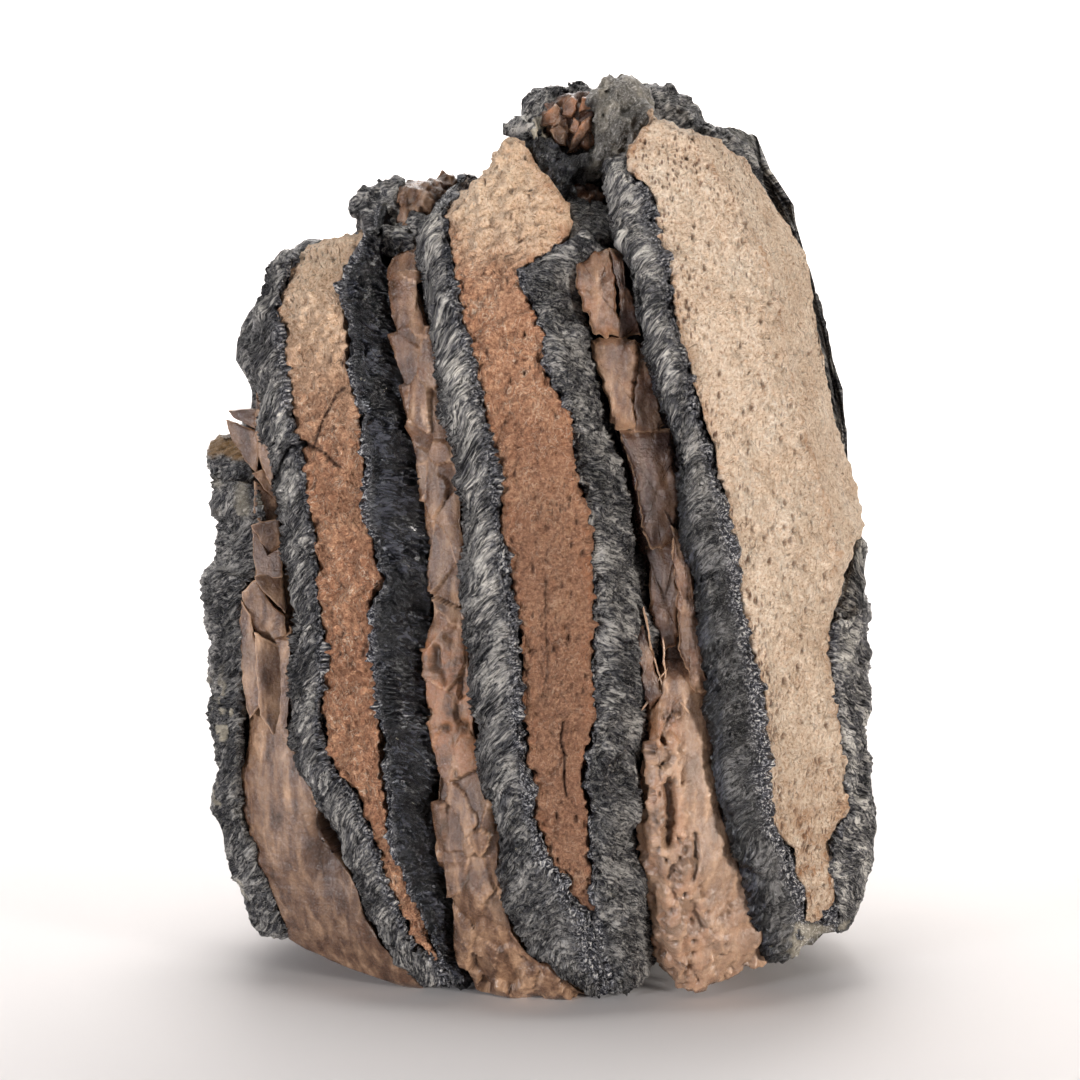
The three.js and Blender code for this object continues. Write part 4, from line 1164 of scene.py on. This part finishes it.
CUP_CEMENT = [
    (1.6, 16, 92.2, 1.3), (1.4, 15.4, 90.9, 1.1), (3.4, 17.5, 93.4, 1.3), (4.8, 17.5, 93.6, 1.4),
    (3.9, 16.8, 91.8, 1.5), (5, 16, 91.2, 1.2), (3.2, 16.4, 90.4, 1.4), (4.6, 15.6, 89.4, 1.1),
    (2.4, 16.8, 90.4, 1.2), (4.2, 18.5, 90.5, 2.4), (3.9, 12.2, 83.2, 1.5), (3.6, 12.6, 82.2, 1.5),
    (4.6, 13, 84, 1.3),
]
cup_cement = lump_mesh(CUP_CEMENT, 0.35, 0.2, 0.6, 79)
cup_cement.dark = 0.45 + 0.5 * ramp(noise(cup_cement.points, 1.2, 80), -0.2, 0.3)
cup_cement.stain += 0.9
CUP_SHARDS = [
    ([(2.7, 88.4), (3.5, 88.6), (5.3, 91.2), (5.2, 92.3), (4.3, 91.7)], 13.6, (0.3, -0.1)),
    ([(0.1, 91.2), (0.3, 92.4), (1.6, 93.6), (2.2, 92.9), (1.4, 91.3)], 14.6, (0.15, 0.3)),
    ([(2.2, 92.3), (2.4, 93.6), (3.4, 94.4), (4, 93.9), (3.3, 92)], 15, (-0.3, 0.1)),
    ([(4, 92.6), (4.3, 94.2), (5.2, 94.1), (5.4, 92.9)], 14.8, (0.3, 0)),
    ([(0.9, 90.9), (2, 91.6), (3.1, 90.4), (2.6, 89.2), (1.6, 89.4)], 14.3, (0.2, 0.25)),
    ([(2.9, 90.7), (3.5, 92.2), (4.2, 91.8), (3.6, 90.3)], 14.4, (-0.35, 0.15)),
]
cup_shards = []
for k, row in enumerate(CUP_SHARDS):
    shard = chunk(*row, thick=2.0, bevel=0.5, ripple=0.12, seed=k + 40)
    shard.stain[:] = 1.0
    shard.dark = 0.5 * ramp(noise(shard.points, 1.0, 81), -0.3, 0.4) * (1 - shard.fringe)
    cup_shards.append(shard)
piece("cement_3", [cement_3, cup_cement] + cup_shards + blocks + splinters, cement)

# ---- plate 4 ---------------------------------------------------------------------------------------
# The right-hand plate. Most of its right sheet has broken away, so its pale dentine lies bare; the
# sheet is left low down at the front and again behind the top.
dentine4_left = wall(
    [(-2, 27), (7.5, 28.3), (11, 28), (13.3, 26.6), (16.5, 26.2), (18.6, 24.6), (23, 23.2), (29.3, 23),
     (38.5, 21.5), (45.3, 20.1), (53, 18.9), (60.4, 16.8), (65, 15.4), (71.4, 13.7), (76, 13),
     (80.6, 11.6), (84.5, 11.2), (87, 9.0), (88.6, 8.8), (91, 10.6), (94, 11)],
    (0, -0.4, -1.4, -2.6, -3.8, -5), seed=33, wobble=0.18)
dentine4_right = wall(
    [(-2, 30), (7.7, 30.9), (13.2, 30.3), (17.4, 30.4), (18.8, 31.7), (22.5, 31.6), (30.7, 30.5),
     (37.7, 29.8), (49, 29.8), (55.4, 28.3), (66.5, 25.4), (79.6, 22.3), (88.7, 16.4), (94, 12.6)],
    (0, 0.6, 1, 0.2, -2.4, -6), seed=36, wobble=0.25, lean=0, bulge=(0, 2.2, 3.6, 3.4, 2, 0))
plate4_right = wall(
    [(-2, 32.4), (4.4, 33.3), (7.3, 34.2), (9.2, 34.9), (15.5, 35.3), (21.6, 35.3), (25.2, 35),
     (34.5, 35), (39.6, 34.6), (47.7, 34.4), (52, 34.2), (62, 33.2), (72, 31), (82, 28), (98, 22)],
    (0, 0, 0, -0.8, -3.4, -7), seed=39, lean=0)
columns, marks = pocket(
    (plate4_left, dentine4_left, dentine4_right, plate4_right),
    form([(3, 1), (14, 0.6), (15, -0.6), (20, 0), (86, 0.2)],
         [(6, 86.5), (8, 87.5), (12, 88), (16, 90), (24, 91), (29, 92), (32, 95), (37, 93.5), (46, 80)]),
    form([(3, 0.8), (20, 0), (46, 0.6)],
         [(10, 40), (15, 41.5), (17, 46.5), (26, 49), (29, 70), (32, 91.5), (37, 90.5), (46, 76)]),
    8.0, right_crest=lambda s: 0.9 * to_edges(s, 3), near_right=BROAD, right_dark=0.0, left_count=24,
    left_rise=3.4, right_rise=-3.5)
plate_4 = part_of(columns, marks)
points = plate_4.points
x, _, z = points.T
low_left = fade(z, 45, 75) * (x < 29)
plate_4.dark = np.minimum(1, plate_4.dark + 0.85 * low_left)
under = z + 1.2 * noise(points, 1.1, 49)
broken = ramp(noise(points, 0.7, 50), -0.3, 0.1)
plate_4.pale = 0.5 * fade(under, 6.6, 7.2) * ramp(x, 25, 27) * broken
enamel_relief(plate_4, 34)
BEHIND_BALLS = [
    (11.2, 33, 93.6, 1.6), (12.4, 33, 93.6, 1.9), (13.8, 33, 93.2, 1.9), (15.2, 33, 92.4, 1.8),
    (16.3, 33, 91.4, 1.7), (17.6, 31, 89.8, 1.5), (18.8, 30.5, 89.4, 1.6), (20.2, 30.5, 88.8, 1.6),
    (21.4, 30.5, 87.8, 1.5), (22.6, 30.5, 86, 1.6), (14, 34, 90.5, 2.8), (18, 33, 88, 2.8),
    (21.5, 33, 86, 2.6),
]
behind = lump_mesh(BEHIND_BALLS, 0.5, 0.25, 0.6, 82, lean=0.4, dark=0.4)
columns, marks = sheet(
    dentine4_left, dentine4_right,
    form([(6, 1.2), (22, 0.8), (92, 0.6)],
         [(6, 92.4), (9, 93), (14, 92.4), (20, 91), (32, 88), (48, 78)], 7.4,
         slant=-0.3, pivot=13),
    lambda s: 0.2 * to_edges(s, 4), 54,
    near_right=list(np.linspace(0.35, 21, 32)))
marks["stain"] = 0.8 * to_edges(marks["share"], 8) * (marks["side"] < 0.5)
dentine_4 = part_of(columns, marks)
across, height = dentine_4.share, dentine_4.points[:, 2]
spread = np.maximum(fade(across, 0.05, 0.4), np.maximum(fade(height, 14, 34), ramp(height, 72, 88)))
dentine_4.fringe = np.maximum(0.25, 0.95 * spread) * ramp(noise(dentine_4.points, 3.0, 48), -0.7, 0.0)
raise_mark(dentine_4, "stain", fade(height, 13, 33))
raise_mark(dentine_4, "stain", 0.8 * fade(across, 0.03, 0.16) * ramp(height, 79, 86))
dentine_relief(dentine_4, 47, coarse=0.8)
# its second set of colours, for painted light on the top, is the same as the first
pale_dentine = dentine_finish("fossil_dentine_pale", ("#bf9b7c", "#e4c9ad", "#f8e8d4"),
                              ("#bf9b7c", "#e4c9ad", "#f8e8d4"), "#b07d52", "#6d4a33")
piece("plate_4_enamel", [plate_4, behind], enamel)
piece("plate_4_dentine", [dentine_4], pale_dentine)
